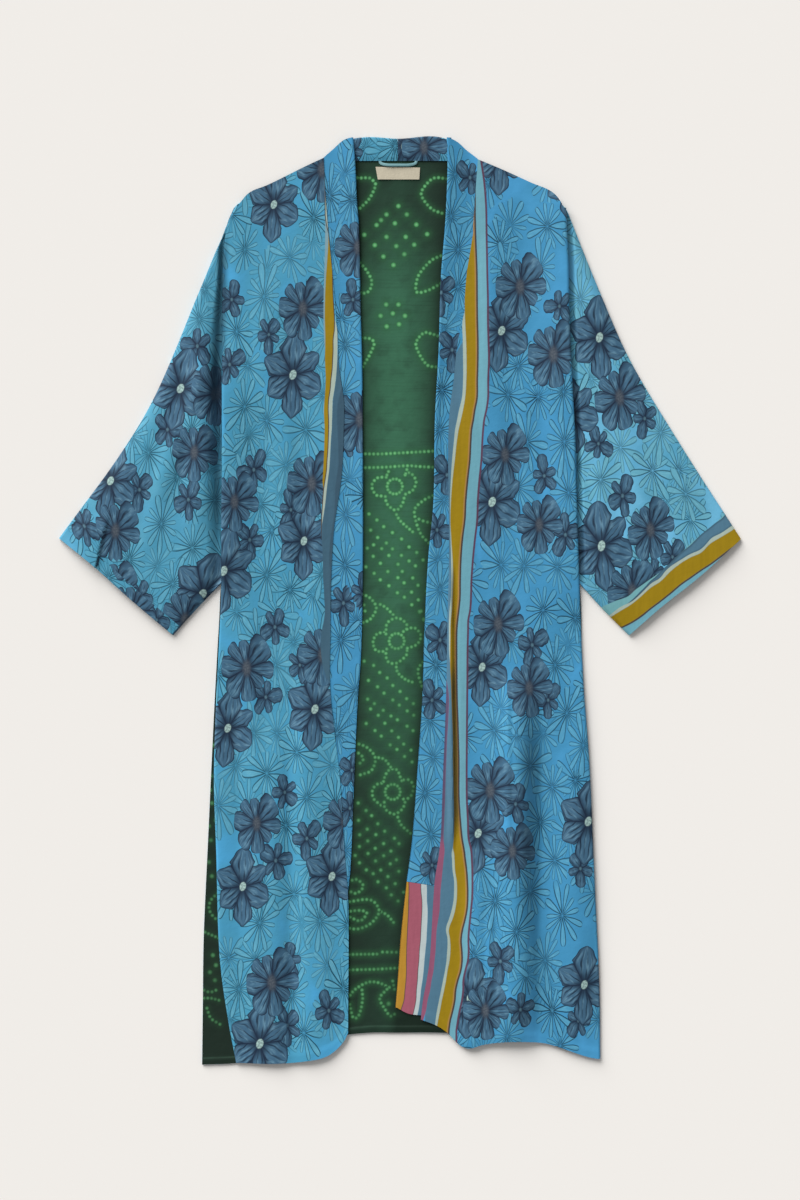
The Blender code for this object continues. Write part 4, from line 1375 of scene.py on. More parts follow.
@dataclass(kw_only=True)
class Strip(Panel):
    """A band strip of doubled cloth: flat where it is sewn, rolled and lifted at its free edge."""

    outline: Outline
    columns: int = 18
    rows: int = 320
    lift: Line = ((-700, 0.0), (-60, 0.0), (150, 2.5), (420, 3.5), (560, 5.0), (640, 6.5))
    wave: float = 0.25
    wave_run: float = 23.0
    floor: float = LINING_TOP + 0.4

    def area(self) -> float:
        """Area of the outline."""
        return self.outline.area()

    def height(self, x: Grid, y: Grid) -> Grid:
        """Base height, and a lift that grows as the 1.5th power of the way to the free edge."""
        free, sewn = read_line(self.outline.left, y), read_line(self.outline.right, y)
        share = np.clip((np.abs(x - sewn) - 2 * LAP) / (np.abs(free - sewn) - 2 * LAP), 0, 1)
        lift = np.interp(y, *np.array(self.lift).T)
        return BAND_TOP + lift * share ** 1.5 + self.wave * np.sin(y / self.wave_run) * share

    def build(self) -> Piece:
        """Fill the outline, raise it towards its free edge, and roll that edge to the lining."""
        left, out = self.outline.left_edge(self.rows)
        inset = BAND_ROLL.inset(left, out, self.height(left[:, 0], left[:, 1]), self.floor)
        plan = self.outline.grid(self.columns, self.rows, left=inset)
        z = self.height(plan[..., 0], plan[..., 1])
        face = BAND_ROLL.carry(Face(np.dstack([plan, z]), plan), out, self.floor)
        return sew(self.node + "_silk", face, DOUBLED_SILK)


@dataclass(kw_only=True)
class NeckHalf(Panel):
    """Half of the band behind the neck: doubled cloth with its rim rolled down to the surface."""

    start: float
    end: float
    under: str = "back_panel"
    wide: float = 0.036
    columns: int = 16
    rows: int = 40
    sewn_y: float = 593.0
    top: float = BAND_TOP + 0.8
    floor: float = 0.9
    belly: float = 0.5
    depth: float = 32.0
    dip: float = 0.9
    dip_run: float = 6.0

    def __post_init__(self) -> None:
        """Cut it as long as the stretch of rim that it covers."""
        self.cut = ((self.end - self.start) * MM, self.wide)

    def build(self) -> Piece:
        """Rows run along the rim and columns from the rim to the seam.

        Returns:
            The sewn half. Its height swells as half a sine from seam to rim, and dips at the seam.
        """
        xs = np.linspace(self.start, self.end, self.rows)
        known = np.array(NECK_RIM, float)
        rim = np.stack([xs, smooth(known[:, 0], known[:, 1], xs)], axis=1)
        seam = np.stack([xs, np.full(self.rows, self.sewn_y)], axis=1)
        out = np.tile([0.0, 1.0], (self.rows, 1))
        inset = NECK_ROLL.inset(rim, out, np.full(self.rows, self.top), self.floor)
        share = even(self.columns)[None, :, None]
        plan = (1 - share) * inset[:, None] + share * seam[:, None]
        dip = smoothstep((self.sewn_y + self.dip_run - plan[..., 1]) / self.dip_run)
        swell = self.belly * np.sin((plan[..., 1] - self.sewn_y) / self.depth * pi)
        z = self.top + swell - self.dip * dip
        face = NECK_ROLL.carry(Face(np.dstack([plan, z]), plan), out, self.floor)
        return sew(self.node + "_silk", face, DOUBLED_SILK)


@dataclass(kw_only=True)
class Sleeve(Panel):
    """A sleeve laid flat: a tube from the armhole to the cuff, low beside the front's rolled edge.

    Its outline's left is the underarm edge, its right the top edge, its low the armhole and
    its high the cuff. Its side is -1 for the left sleeve and 1 for the right one.
    """

    outline: Outline
    front_side: Line
    folds: tuple[Fold, ...]
    side: int
    under: str = "surface"
    gap: float = 0.21
    rest: float = 0.1
    edge_radius: float = 2.4
    edge_steps: int = 8
    ease: float = 0.35
    eased_from: float = 0.6
    crown: float = 5.6
    crown_run: float = 38.0
    fold_steepness: float = 4.0
    dip: float = 2.2
    dip_steepness: float = 5.0
    sink: float = 2.5
    drops: tuple[Pair, ...] = ((0, 5.0),)
    far_drop: float = 34.0
    far_share: float = 0.2
    hem: float = 0.0
    hem_rise: float = 0.5
    hem_step: float = 0.2
    hem_rows: int = 7
    hem_shift: Pair = (-23.0, 31.0)
    cuff_crease: Fold | None = None
    tuck: float = 18.0
    tuck_run: float = 0.6
    tuck_way: Pair = (-1.0, 0.25)
    crowd: float = 0.0
    crowd_at: float = 0.74
    crowd_width: float = 0.06
    columns: int = 84
    rows: int = 84
    row_crowding: float = 1.15
    ripple: Ripple = Ripple(height=0.4, seed=11)

    def area(self) -> float:
        """Area of both layers."""
        return 2 * self.outline.area()

    def shares(self) -> Grid:
        """Places across the tube from the underarm to the top edge, closer together round crowd_at."""
        fine = even(2000)
        density = np.cumsum(1 + self.crowd * np.exp(-((fine - self.crowd_at) / self.crowd_width) ** 2))
        way = (density - density[0]) / (density[-1] - density[0])
        return np.interp(even(self.columns), way, fine)

    def along(self, start: Grid, end: Grid) -> Grid:
        """Shares of the way from the armhole to the cuff, rows by columns.

        Args:
            start: plan points of the armhole, one for each column.
            end: plan points of the cuff.

        Returns:
            The shares. The last rows fill the hem, after a row that lies close before it.
        """
        if not self.hem:
            return np.tile((even(self.rows) ** self.row_crowding)[:, None], (1, len(start)))
        run = (end[-1] - end[0]) / np.linalg.norm(end[-1] - end[0])
        deep = np.abs((start - end[0]) @ np.array([run[1], -run[0]]))
        turned = (1 - self.hem / deep)[None]
        body = even(self.rows - self.hem_rows)[:, None] ** self.row_crowding
        body = body * (turned - self.hem_step / deep)
        return np.concatenate([body, turned + (1 - turned) * even(self.hem_rows)[:, None]])

    def within(self, plan: Grid, across: Grid, inset: Grid) -> Grid:
        """Move the points nearest to the folded edges in, by an inset share of each row's width."""
        spot = np.clip(across[None, :], inset, 1 - inset)
        i = np.clip(np.searchsorted(across, spot, side="right") - 1, 0, self.columns - 2)
        part = ((spot - across[i]) / (across[i + 1] - across[i]))[..., None]
        row = np.arange(self.rows)[:, None]
        return plan[row, i] + part * (plan[row, i + 1] - plan[row, i])

    def upper(self, x: Grid, y: Grid, along: Grid, edge: Grid) -> Grid:
        """Height of the upper cloth.

        Args:
            x: across the robe, in mm.
            y: up the robe, in mm.
            along: share of the way to the cuff.
            edge: way in from the nearer folded edge, as a share of the crown's run.

        Returns:
            A low height beside the front, blended over the valley into the crown: a parabola of
            edge, eased towards the cuff, with the ripple and the folds on it.
        """
        beside = self.side * (x - read_line(self.front_side, y))
        near = smoothstep((beside - self.sink) / np.interp(y, *np.array(self.drops, float).T))
        valley = (1 - self.far_share) * near + self.far_share * smoothstep(beside / self.far_drop)
        eased = smoothstep((along - self.eased_from) / (1 - self.eased_from))
        crown = (1 - (1 - np.clip(edge, 0, 1)) ** 2) * (1 - self.ease * eased)
        lift = self.crown * crown + self.ripple.rise(x, y) * crown
        for fold in self.folds + ((self.cuff_crease,) if self.cuff_crease else ()):
            lift = lift + fold.rise(x, y) * np.clip(self.fold_steepness * edge, 0, 1)
        if self.hem:
            lift[-self.hem_rows:] += self.hem_rise
        doubled = 2 * self.edge_radius
        low = doubled - (doubled - self.dip) * np.clip(self.dip_steepness * edge, 0, 1)
        return low + (doubled + np.maximum(lift, 0.0) - low) * valley

    def folded(self, rim: Grid, wall: Grid) -> tuple[Grid, Grid]:
        """A folded edge: half a turn from the lower cloth up to the upper one.

        Args:
            rim: plan points of the edge.
            wall: plan points where the flat cloth ends.

        Returns:
            Points at centre + radius (sin a out - cos a up), and the cloth's place on the print.
        """
        reach = rim - wall
        reach /= np.linalg.norm(reach, axis=1, keepdims=True)
        centre = np.column_stack([wall, np.full(self.rows, self.edge_radius)])
        ray = np.column_stack([reach, np.zeros(self.rows)])
        up = np.array([0, 0, 1])
        turns = np.linspace(0, pi, self.edge_steps + 1)[1:-1]
        arc = [centre + self.edge_radius * (sin(a) * ray - cos(a) * up) for a in turns]
        marks = [wall + reach * self.edge_radius * (pi - a) for a in turns]
        return np.stack(arc, axis=1), np.stack(marks, axis=1)

    def build(self) -> Piece:
        """Work out the tube: above, the underarm edge, below, and the top edge."""
        across = self.shares()
        start = curve(self.outline.low, across) + (self.side * self.gap, 0)
        end = curve(self.outline.high, across)
        along = self.along(start, end)
        left, right = curve(self.outline.left, along[:, 0]), curve(self.outline.right, along[:, -1])
        plan = fill(start, end, left, right, across, along)
        width = np.linalg.norm(plan[:, -1] - plan[:, 0], axis=1)[:, None]
        walls = self.within(plan, across, self.edge_radius / width)
        edge = np.minimum(across, 1 - across) * width / self.crown_run
        above = np.dstack([walls, self.upper(walls[..., 0], walls[..., 1], along, edge)])
        below = np.dstack([walls, np.full(walls.shape[:2], self.rest)])
        (top_arc, top_marks), (under_arc, under_marks) = (
            self.folded(plan[:, column], walls[:, column]) for column in (-1, 0))
        laid = self.laid_print(walls)
        points = [above[:, ::-1], under_arc[:, ::-1], below, top_arc, above[:, -1:]]
        printed = [laid[:, ::-1], under_marks[:, ::-1], 2 * under_marks[:, :1] - walls,
                   top_marks + (laid - walls)[:, -1:], laid[:, -1:]]
        face = Face(np.concatenate(points, axis=1), np.concatenate(printed, axis=1), closed=True)
        return sew(self.node + "_silk", face.facing_up(self.columns), SILK)

    def laid_print(self, walls: Grid) -> Grid:
        """Where the upper cloth lies on the print.

        Args:
            walls: plan points of the upper cloth.

        Returns:
            The same points, moved on past the crease by the cloth that its tuck takes up, and
            in the hem by the cut of the turned cloth.
        """
        if not self.cuff_crease:
            return walls
        along, beside = self.cuff_crease.place(walls[..., 0], walls[..., 1])
        tucked = (beside < 0) * smoothstep(along / self.tuck_run) * self.tuck
        turned = (beside > 0) & (np.arange(self.rows) >= self.rows - self.hem_rows)[:, None]
        return walls + tucked[..., None] * self.tuck_way + turned[..., None] * self.hem_shift


def beads(points: Line, pitch: float) -> Grid:
    """Dots in mm along the smooth line through picture places, about pitch mm apart."""
    known = on_robe(points)
    length = np.linalg.norm(np.diff(known, axis=0), axis=1).sum()
    return curve(tuple(map(tuple, known)), even(max(2, round(length / pitch) + 1)))


def ring(x: float, y: float, radius: float, count: int = 14) -> Line:
    """A ring of places on the picture about x, y."""
    turns = [tau * i / count for i in range(count)]
    return tuple((x + radius * cos(turn), y + radius * sin(turn)) for turn in turns)


# The lining's dots on the picture: beaded lines, single dots, and straight runs from one x, y to
# another with a count of dots
BEADED: tuple[Line, ...] = (
    ((357, 178), (363.3, 178.2), (369, 178), (375.5, 184), (374.5, 188.8), (369, 199.3),
     (360, 208.4)), ((447, 179), (434.2, 178.2), (425.7, 185.2), (421.2, 193.4), (423.6, 200),
     (432.7, 209.8), (442, 213.4)), ((360, 263), (366.1, 270.1), (371.7, 281.3), (370.3, 289),
     (366.1, 293.2), (360, 292.5)), ((441, 256), (432.7, 259.6), (422.2, 270.1), (417.5, 278),
     (416.6, 292.1), (426.4, 291.1), (441, 283.6)), ((361, 338), (371, 339.2), (374.1, 343),
     (369.6, 355), (362.6, 366.9)), ((438, 336), (431, 333.8), (424.3, 332.8), (416, 343),
     (418, 351.4), (427.8, 365.5), (436, 367)), ((361, 453.9), (380, 454), (400, 453), (437, 451)),
    ((361, 467.8), (385, 467.2), (408, 465.8), (420, 466.6), (437, 467.5)), ((386.2, 477.3),
     (377.6, 477.9), (371.8, 485.4), (376.4, 495.1), (385.6, 496.8), (386.2, 502.6), (395.9, 510.3),
     (402.2, 504.3), (405.7, 494), (412, 491.1), (416, 481.3), (409.7, 472.7), (405.1, 475)),
    ((388.5, 471.6), (387, 475)), ((406.8, 469.6), (405.8, 473.5)), ((396.5, 514.6), (399.4, 519.8),
     (404, 524.4), (412.6, 531.8)), ((433, 495.6), (424.6, 499.7), (414.9, 508.9), (415.4, 519.2),
     (421.2, 534.7), (429, 543)), ((418.9, 519.2), (422.9, 520.9), (432, 523.2)), ((362, 594.3),
     (369.1, 597.2), (376.3, 607.5), (369.9, 619.5), (363, 622.5)), ((364, 605), (365, 611)),
    ((380.3, 604.4), (385.9, 607.5), (393.1, 614.7)), ((385.9, 633.9), (387.5, 622.7),
     (397.8, 617.9), (406.6, 624.3), (406.6, 629)), ((384.3, 632.3), (377.1, 633.9), (373.1, 642),
     (376.3, 650.6), (383, 651.4)), ((403.4, 631.5), (409, 628.3), (415.4, 628.3), (421, 636),
     (417, 644.2), (407.4, 648.2)), ((386.7, 649), (385.9, 655.4), (388.3, 661.8), (395.5, 663.4),
     (406.6, 654.6), (407.1, 650.5)), ((396.3, 667), (397.5, 672.1), (405.8, 679.6), (412.2, 682)),
    ((423, 662), (418.6, 668.1), (418.3, 674.5), (422, 686)), ((359, 744), (366.7, 747.1),
     (375.2, 757.5), (371.5, 770.2), (360.4, 774.7)), ((358.5, 753), (363.6, 758.3), (360, 763)),
    ((378.7, 757.5), (384.3, 759.1), (390.7, 767)), ((383.5, 781.4), (385.4, 775), (389.9, 769.4),
     (396.3, 769.4), (401.8, 780.6)), ((381.7, 783), (376.3, 784.6), (372.3, 791), (373.9, 798.9),
     (381, 805)), ((403.6, 779.8), (409, 779.8), (413.6, 786), (409.8, 797.3), (403.4, 798.9)),
    ((384.3, 802.1), (385.1, 808.5), (394, 814), (402.6, 808.5), (405, 802.1)), ((397.8, 817),
     (401, 824.4), (410.6, 833.2)), ((352, 880), (357.1, 879.4), (363.3, 886), (356.5, 893.1),
     (351, 891.7)), ((349.5, 901.5), (366.7, 899.3), (373.6, 901.3), (379.1, 910.9), (371.6, 922.6),
     (357.8, 928.8), (349.5, 928)), ((350.5, 911), (359.2, 910.2), (366.7, 912.3), (360.6, 920.5),
     (350, 917)), ((381.2, 911.6), (387.3, 915), (393.5, 922.2)), ((349, 954.2), (377, 953.9)),
    ((382.5, 951.8), (401, 952.1)), ((349, 969.7), (376, 969), (403, 967.5)), ((350, 995),
     (354.4, 989.8), (368.1, 982), (377.7, 982.3), (389.4, 987.1)), ((387, 989), (379.8, 998),
     (384.6, 1008.3), (390.8, 1015.9), (394.6, 1014)), ((392.8, 980.9), (394.6, 989)),
    ((362, 989.8), (362.6, 999.4), (357.8, 1016.6), (353.7, 1017.9), (349.6, 1004.2)), ((218, 893),
     (211, 900), (209, 908), (213, 916), (219, 921)), ((205, 932), (212, 935), (219, 938)),
    ((204, 998), (211, 998), (219, 1000)), ((207, 1008), (211, 1018), (220, 1024)), ((204, 990),
     (210, 992), (216, 990)))
SINGLE_DOTS: Line = (
    (398.4, 206.3), (386.5, 214.7), (406.8, 214.7), (381.1, 220.3), (376.6, 225.2), (394.9, 223.5),
    (416.3, 224.8), (364.3, 235), (386.5, 237.1), (405.7, 237.1), (427.1, 234.3), (374.8, 245.3),
    (396.3, 246.3), (414.2, 244.9), (383.4, 256.8), (404.3, 254.4), (393.5, 265.2), (386.2, 304.7),
    (398.4, 304.7), (392.8, 313.6), (380.6, 316), (405, 316), (386.7, 326.6), (399.1, 324.4),
    (388.7, 1003.5), (419.9, 611.5), (424.2, 619.5), (211, 776), (210, 790), (212, 803), (209, 826),
    (211, 840), (209, 862), (212, 876), (214, 745), (216, 820), (213, 955), (216, 965), (210, 972),
    (215, 980))
DOT_ROWS: tuple[tuple[float, float, float, float, int], ...] = (
    (370.4, 512.9, 423.6, 560.5, 8), (370.7, 531.3, 416.9, 567.1, 7), (374.3, 543, 426.7, 591, 8),
    (366.6, 549, 418.3, 599.2, 8), (364.9, 566.6, 419.8, 611.6, 8), (364.7, 659.4, 413.8, 703.6, 8),
    (369.5, 680.4, 414.6, 716.8, 7), (367.5, 698, 413.3, 731.6, 7), (371.5, 709.1, 411, 750.6, 7),
    (366.4, 724, 413.5, 762.2, 7), (358, 803, 399.7, 845.4, 7), (359, 820, 399, 859.5, 6),
    (359.5, 833, 399, 871.2, 6), (359.9, 847.1, 402.4, 891.7, 7), (354.4, 855, 397.3, 901.1, 8))
RINGS: Line = ((394.8, 486.5), (396.7, 641), (392.7, 791.8))


@dataclass
class Back:
    """The back: dotted lining that shows, over the printed outer cloth that rests on the surface.

    Its pale middle fades out across the robe by a bell curve, which paints shade towards the bands, and
    at both ends.
    """

    cut: Pair = (0.536, 1.23)
    columns: int = 130
    rows: int = 296
    thick: float = 0.7
    ripple: Ripple = Ripple(height=0.25, seed=21)
    hem_rows: tuple[float, ...] = (0.0, 0.0035, 0.0064, 0.0070, 0.0076, 0.0090)
    hem_rises: tuple[float, ...] = (0.5, 0.6, 0.9, 0.6, 0.0, 0.0)
    sewn_up: float = 8.6
    sewn_width: float = 1.2
    # painted highlight: a paler line along the hem's sewn crest
    hem_crest_highlight: float = 0.12
    middle: float = -5.0
    # reach of the pale middle: the bell's fall towards the bands is painted shade
    pale_reach: float = 52.0
    pale_low: Change = Change(-420, 80, 0.16, 1.0)
    pale_top: Change = Change(380, 550, 1.0, 0.25)
    slit: float = -125.0
    band_shadow_right: Pair = (0.75, 8.0)
    band_shadow_left: Pair = (0.4, 4.0)
    pitch: float = 5.7
    ring: float = 7.6
    dot: float = 2.7
    scatter: float = 1.1
    run_size: float = 1.08
    single_size: float = 1.32
    least_strength: float = 0.55
    strength: Change = Change(-330, 150, 0.55, 1.0)
    slit_dots: Pair = (-220.0, 0.6)
    glow: float = 0.55
    glow_reach: float = 1.9
    outer_grid: tuple[int, int] = (72, 160)
    outer_top: float = 1.2
    outer_thick: float = 1.1

    def outline(self) -> Outline:
        """The back's edges, its sides joined from the open side and the armhole."""
        return Outline(LEFT_BACK_SIDE[:-1] + LEFT_ARMHOLE, RIGHT_BACK_SIDE[:-1] + RIGHT_ARMHOLE,
                       BACK_HEM, SHOULDERS)

    def dots(self) -> tuple[Grid, ...]:
        """The lining's dots, in two turns that keep neighbours apart.

        Returns:
            For each turn, a row for each dot: x and y in mm, and its share of the full size.
        """
        draw = np.random.default_rng(8)
        chains = [(1.0, beads(line, self.pitch)) for line in BEADED]
        chains += [(1.0, on_robe(ring(x, y, self.ring))) for x, y in RINGS]
        for x0, y0, x1, y1, count in DOT_ROWS:
            share = even(count)[:, None]
            start, end = on_robe(((x0, y0), (x1, y1)))
            loose = draw.normal(0, self.scatter, (count, 2))
            chains.append((self.run_size, (1 - share) * start + share * end + loose))
        chains.append((self.single_size, on_robe(SINGLE_DOTS)))
        sized = [np.column_stack([chain, np.full(len(chain), size)]) for size, chain in chains]
        return tuple(np.concatenate([chain[turn::2] for chain in sized]) for turn in (0, 1))

    def build_lining(self) -> Piece:
        """A thin wall over the back, with low waves and a hem."""
        body = np.linspace(self.hem_rows[-1], 1, self.rows)[1:]
        along = np.concatenate([self.hem_rows, body])
        plan = self.outline().grid(self.columns, len(along), along=along)
        z = LINING_TOP + self.ripple.rise(plan[..., 0], plan[..., 1])
        z += np.interp(along, self.hem_rows, self.hem_rises)[:, None]
        return sew("back_lining_cloth", Face(np.dstack([plan, z]), plan), self.thick)

    def paler(self, x: Grid, y: Grid) -> Grid:
        """How pale the ground is, as a share: its pale middle, whose fall across towards the bands is
        painted shade, and a painted highlight along the crest where the hem is sewn.
        """
        # the bell across paints shade towards the bands
        across = np.exp(-((x - self.middle) / self.pale_reach) ** 2)
        hem = np.array(BACK_HEM, float)
        up = y - np.interp(x, hem[:, 0], hem[:, 1])
        crest = np.exp(-((up - self.sewn_up) / self.sewn_width) ** 2)
        # with painted highlight along the sewn hem's crest
        return across * self.pale_low.at(y) * self.pale_top.at(y) + self.hem_crest_highlight * crest

    def painted_band_shadow(self, x: Grid, y: Grid) -> Grid:
        """How much painted shadow darkens the lining close to the bands' free edges, mostly on the
        right.
        """
        right = read_line(BAND_END_FREE[:-1] + RIGHT_BAND_FREE, y) - x
        left = x - read_line(LEFT_BAND_FREE, y)
        painted_shade = sum(share * np.exp(-np.maximum(away, 0) / reach)
                   for away, (share, reach) in ((right, self.band_shadow_right), (left, self.band_shadow_left)))
        return np.where(x > self.slit, np.clip(painted_shade, 0, 0.8), 0.0)

    def lay_dots(self, piece: Piece) -> Grid:
        """Give each corner its place in the nearest dot of each turn, and the dot's strength.

        Args:
            piece: the lining.

        Returns:
            How far each corner is from the middle of the nearest dot, over the dot's radius.
        """
        middle = piece.corners.mean(axis=1)
        nearest = np.full(piece.corners.shape[:2], np.inf)
        draw = np.random.default_rng(4)
        for name, spots in zip(("dots_even", "dots_odd"), self.dots()):
            near = np.concatenate([
                ((part[:, None] - spots[None, :, :2]) ** 2).sum(axis=2).argmin(axis=1)
                for part in np.array_split(middle, 40)])
            dot = spots[near][:, None]
            away = (piece.corners - dot[..., :2]) / (self.dot * dot[..., 2:])
            edge, dimmer = self.slit_dots
            paler = self.strength.at(spots[:, 1]) * np.where(spots[:, 0] < edge, dimmer, 1.0)
            strength = (draw.uniform(self.least_strength, 1.0, len(spots)) * paler)[near][:, None]
            piece.mark(name, np.dstack([away, np.broadcast_to(strength, away.shape[:2])]))
            nearest = np.minimum(nearest, np.linalg.norm(away, axis=2))
        return nearest

    def dress_lining(self) -> Thing:
        """Lay the ground's paleness with its painted shade, the dots' glow, the dots and the painted
        shadow beside the bands, and stand it for its solid.
        """
        piece = self.build_lining()
        nearest = self.lay_dots(piece)
        x, y = piece.corners[..., 0], piece.corners[..., 1]
        shade = self.paler(x, y)
        glow = self.glow * np.exp(-(nearest / self.glow_reach) ** 2) * np.where(shade > 0.02, 1.0, 0.3)
        piece.mark("ground", np.dstack([shade, glow, self.painted_band_shadow(x, y)]))
        return stand_for(piece, "back_lining", DottedCotton().material(),
                         self.outline().area())

    def dress_outer(self) -> Thing:
        """The printed outer cloth, flat on the surface."""
        plan = self.outline().grid(*self.outer_grid)
        face = Face(np.dstack([plan, np.full(plan.shape[:2], self.outer_top)]), plan)
        piece = sew("back_panel_silk", face, self.outer_thick)
        BACK_CHART.lay(piece)
        return stand_for(piece, "back_panel", PrintedSilk("back_print").material(),
                         self.outline().area())


@dataclass
class Label:
    """The blank woven label under the neck seam: a small flat tape with slightly turned ends."""

    corners: Line = ((-33, 585), (27, 584), (26, 568), (-30, 568))
    grid: tuple[int, int] = (40, 14)
    top: float = 3.9
    wave: float = 0.25
    phase: float = 0.6
    thick: float = 0.5
    weave: PlainWeave = PlainWeave("label_weave", (0.52, 0.475, 0.37))
    cut: Pair = (0.06, 0.017)

    def dress(self) -> Thing:
        """Fill the four corners, wave the tape a little, and stand it for its solid."""
        a, b, c, d = self.corners
        plan = Outline((d, a), (c, b), (d, c), (a, b)).grid(*self.grid)
        z = self.top + self.wave * np.sin(even(self.grid[0]) * pi * 3 + self.phase)
        face = Face(np.dstack([plan, np.tile(z, (self.grid[1], 1))]), plan)
        return stand_for(sew("neck_label_tape", face, self.thick), "neck_label",
                         self.weave.material())


@dataclass
class HangingLoop:
    """The loop above the label: a narrow folded strip, arched up between its two ends."""

    middle: Line = (
        (-27, 593), (-26, 590), (-19, 587.7), (-3, 587.2), (15, 587.7), (21, 590), (22, 593))
    width: float = 3.8
    top: float = 4.3
    arch: float = 1.8
    round_edge: float = 0.5
    thick: float = 0.9
    grid: tuple[int, int] = (7, 60)
    weave: PlainWeave = PlainWeave("loop_silk", (0.17, 0.33, 0.36), SILK_FINISH)
    cut: Pair = (0.01, 0.062)
    area: float = 0.00024

    def dress(self) -> Thing:
        """Widen the middle line to a strip, arch it, and stand it for its solid."""
        along, across = even(self.grid[1]), np.linspace(-1, 1, self.grid[0])
        middle = curve(self.middle, along)
        run = np.gradient(middle, axis=0)
        square = np.stack([-run[:, 1], run[:, 0]], axis=1)
        square /= np.linalg.norm(square, axis=1, keepdims=True)
        plan = middle[:, None] + across[None, :, None] * self.width / 2 * square[:, None]
        arch = self.arch * smoothstep(np.minimum(along, 1 - along) * 4)
        z = self.top + arch[:, None] - self.round_edge * across[None] ** 4
        face = Face(np.dstack([plan, z]), plan).facing_up()
        return stand_for(sew("hanging_loop_silk", face, self.thick), "hanging_loop",
                         self.weave.material(), self.area)


@dataclass(frozen=True)
class Studio:
    """The pale floor, the soft light from the upper left, and the camera straight above."""

    lens: float = 100.0
    sensor: float = 36.0
    aim: float = 0.0007
    floor_half: float = 6.0
    floor_colour: Colour = (0.815, 0.796, 0.776)
    floor_roughness: float = 0.9
    floor_specular: float = 0.1
    white: Colour = (1.0, 0.99, 0.97)
    key_away: float = 3.0
    key_elevation: float = 27.0
    key_turn: float = 33.0
    key_power: float = 4.72
    key_spread: float = 46.0
    sky: float = 0.39

    def floor(self) -> None:
        """A wide pale plane just under the robe."""
        mesh = bpy.data.meshes.new("floor")
        half = self.floor_half
        corners = [(-half, -half, 0), (half, -half, 0), (half, half, 0), (-half, half, 0)]
        mesh.from_pydata(corners, [], [(0, 1, 2, 3)])
        material = bpy.data.materials.new("floor_paper")
        material.use_nodes = True
        inputs = material.node_tree.nodes["Principled BSDF"].inputs
        inputs["Base Color"].default_value = (*self.floor_colour, 1)
        inputs["Roughness"].default_value = self.floor_roughness
        inputs["Specular IOR Level"].default_value = self.floor_specular
        mesh.materials.append(material)
        stand("floor", mesh)

    def key(self) -> None:
        """A broad even light from the upper left, its elevation and turn in degrees."""
        data = bpy.data.lights.new("key", "SUN")
        data.energy = self.key_power
        data.angle = radians(self.key_spread)
        data.color = self.white
        lamp = stand("key", data)
        up, turn = radians(self.key_elevation), radians(self.key_turn)
        way = np.array([-cos(up) * sin(turn), cos(up) * cos(turn), sin(up)])
        lamp.location = self.key_away * way
        lamp.rotation_euler = (-lamp.location).to_track_quat("-Z", "Y").to_euler()

    def camera(self) -> None:
        """A camera that looks straight down and takes in the picture's whole height."""
        data = bpy.data.cameras.new("camera")
        data.lens = self.lens
        data.sensor_width = self.sensor
        view = stand("camera", data)
        tall = PICTURE_HEIGHT * PIXEL * MM
        view.location = (0, self.aim, tall * self.lens / self.sensor)
        bpy.context.scene.camera = view

    def set_up(self) -> None:
        """Make the floor, the light, the pale surroundings and the camera."""
        self.floor()
        self.key()
        world = bpy.data.worlds.new("surroundings")
        world.use_nodes = True
        ground = world.node_tree.nodes["Background"]
        ground.inputs["Color"].default_value = (*self.white, 1)
        ground.inputs["Strength"].default_value = self.sky
        bpy.context.scene.world = world
        bpy.context.scene.view_settings.view_transform = "Standard"
        self.camera()


PLAIN_SILK = PrintedSilk("plain_print", Border(), RIGHT_AZURE, RIGHT_DEEP, RIGHT_DAISY)
NECK_SILK = PrintedSilk("neck_print", ground=SLEEVE_AZURE, deep=SLEEVE_DEEP)
SLEEVE_CUT: Pair = (0.45, 0.57)
LEFT_FRONT_FOLDS = (
    Fold(-242, -20, -239, 370, 8.0, 30, 58), Fold(-249, -600, -244, 30, 2.0, 30, 40),
    Fold(-218, 300, -214, 600, 1.4, 22, 46),
    Fold(-168, -690, -174, -140, 5.0, 48, 22, right_foot=1.2),
    Fold(-120, -690, -130, -60, 5.0, 24, 44),
    Fold(-196, -560, -204, 60, 2.2, 24, 20), Fold(-150, 10, -158, 300, 2.6, 30, 26),
    Fold(-112, -100, -120, 250, 1.6, 18, 24), Fold(-190, 220, -176, 470, 2.2, 26, 34))
RIGHT_FRONT_FOLDS = (
    Fold(232, 240, 222.5, 600, 8.0, 60, 8), Fold(241, -40, 230, 350, 6.5, 58, 30),
    Fold(258, -640, 246, 20, 2.2, 30, 20), Fold(142, -660, 146, -60, 5.5, 60, 54),
    Fold(160, -645, 165, -80, 12.5, 46, 26, right_foot=1.1), Fold(236, -660, 226, -150, 5.0, 38, 34),
    Fold(145, -345, 144, -100, 3.1, 5, 5.5, 1.0, 1.0), Fold(119, -600, 121, -395, 3.2, 5, 7, 1.0, 1.0),
    Fold(71, -346, 68, 60, 3.4, 7, 3.4, 1.0, 1.0, 0.12),
    Fold(75.5, -346, 74, 60, -2.4, 3.0, 6.0, 1.0, 2.0, 0.12),
    Fold(96, -640, 108, -330, 3.6, 26, 22), Fold(140, 60, 132, 300, 2.4, 30, 26),
    Fold(176, 20, 168, 330, 2.2, 26, 24), Fold(118, 220, 122, 500, 2.0, 20, 30))
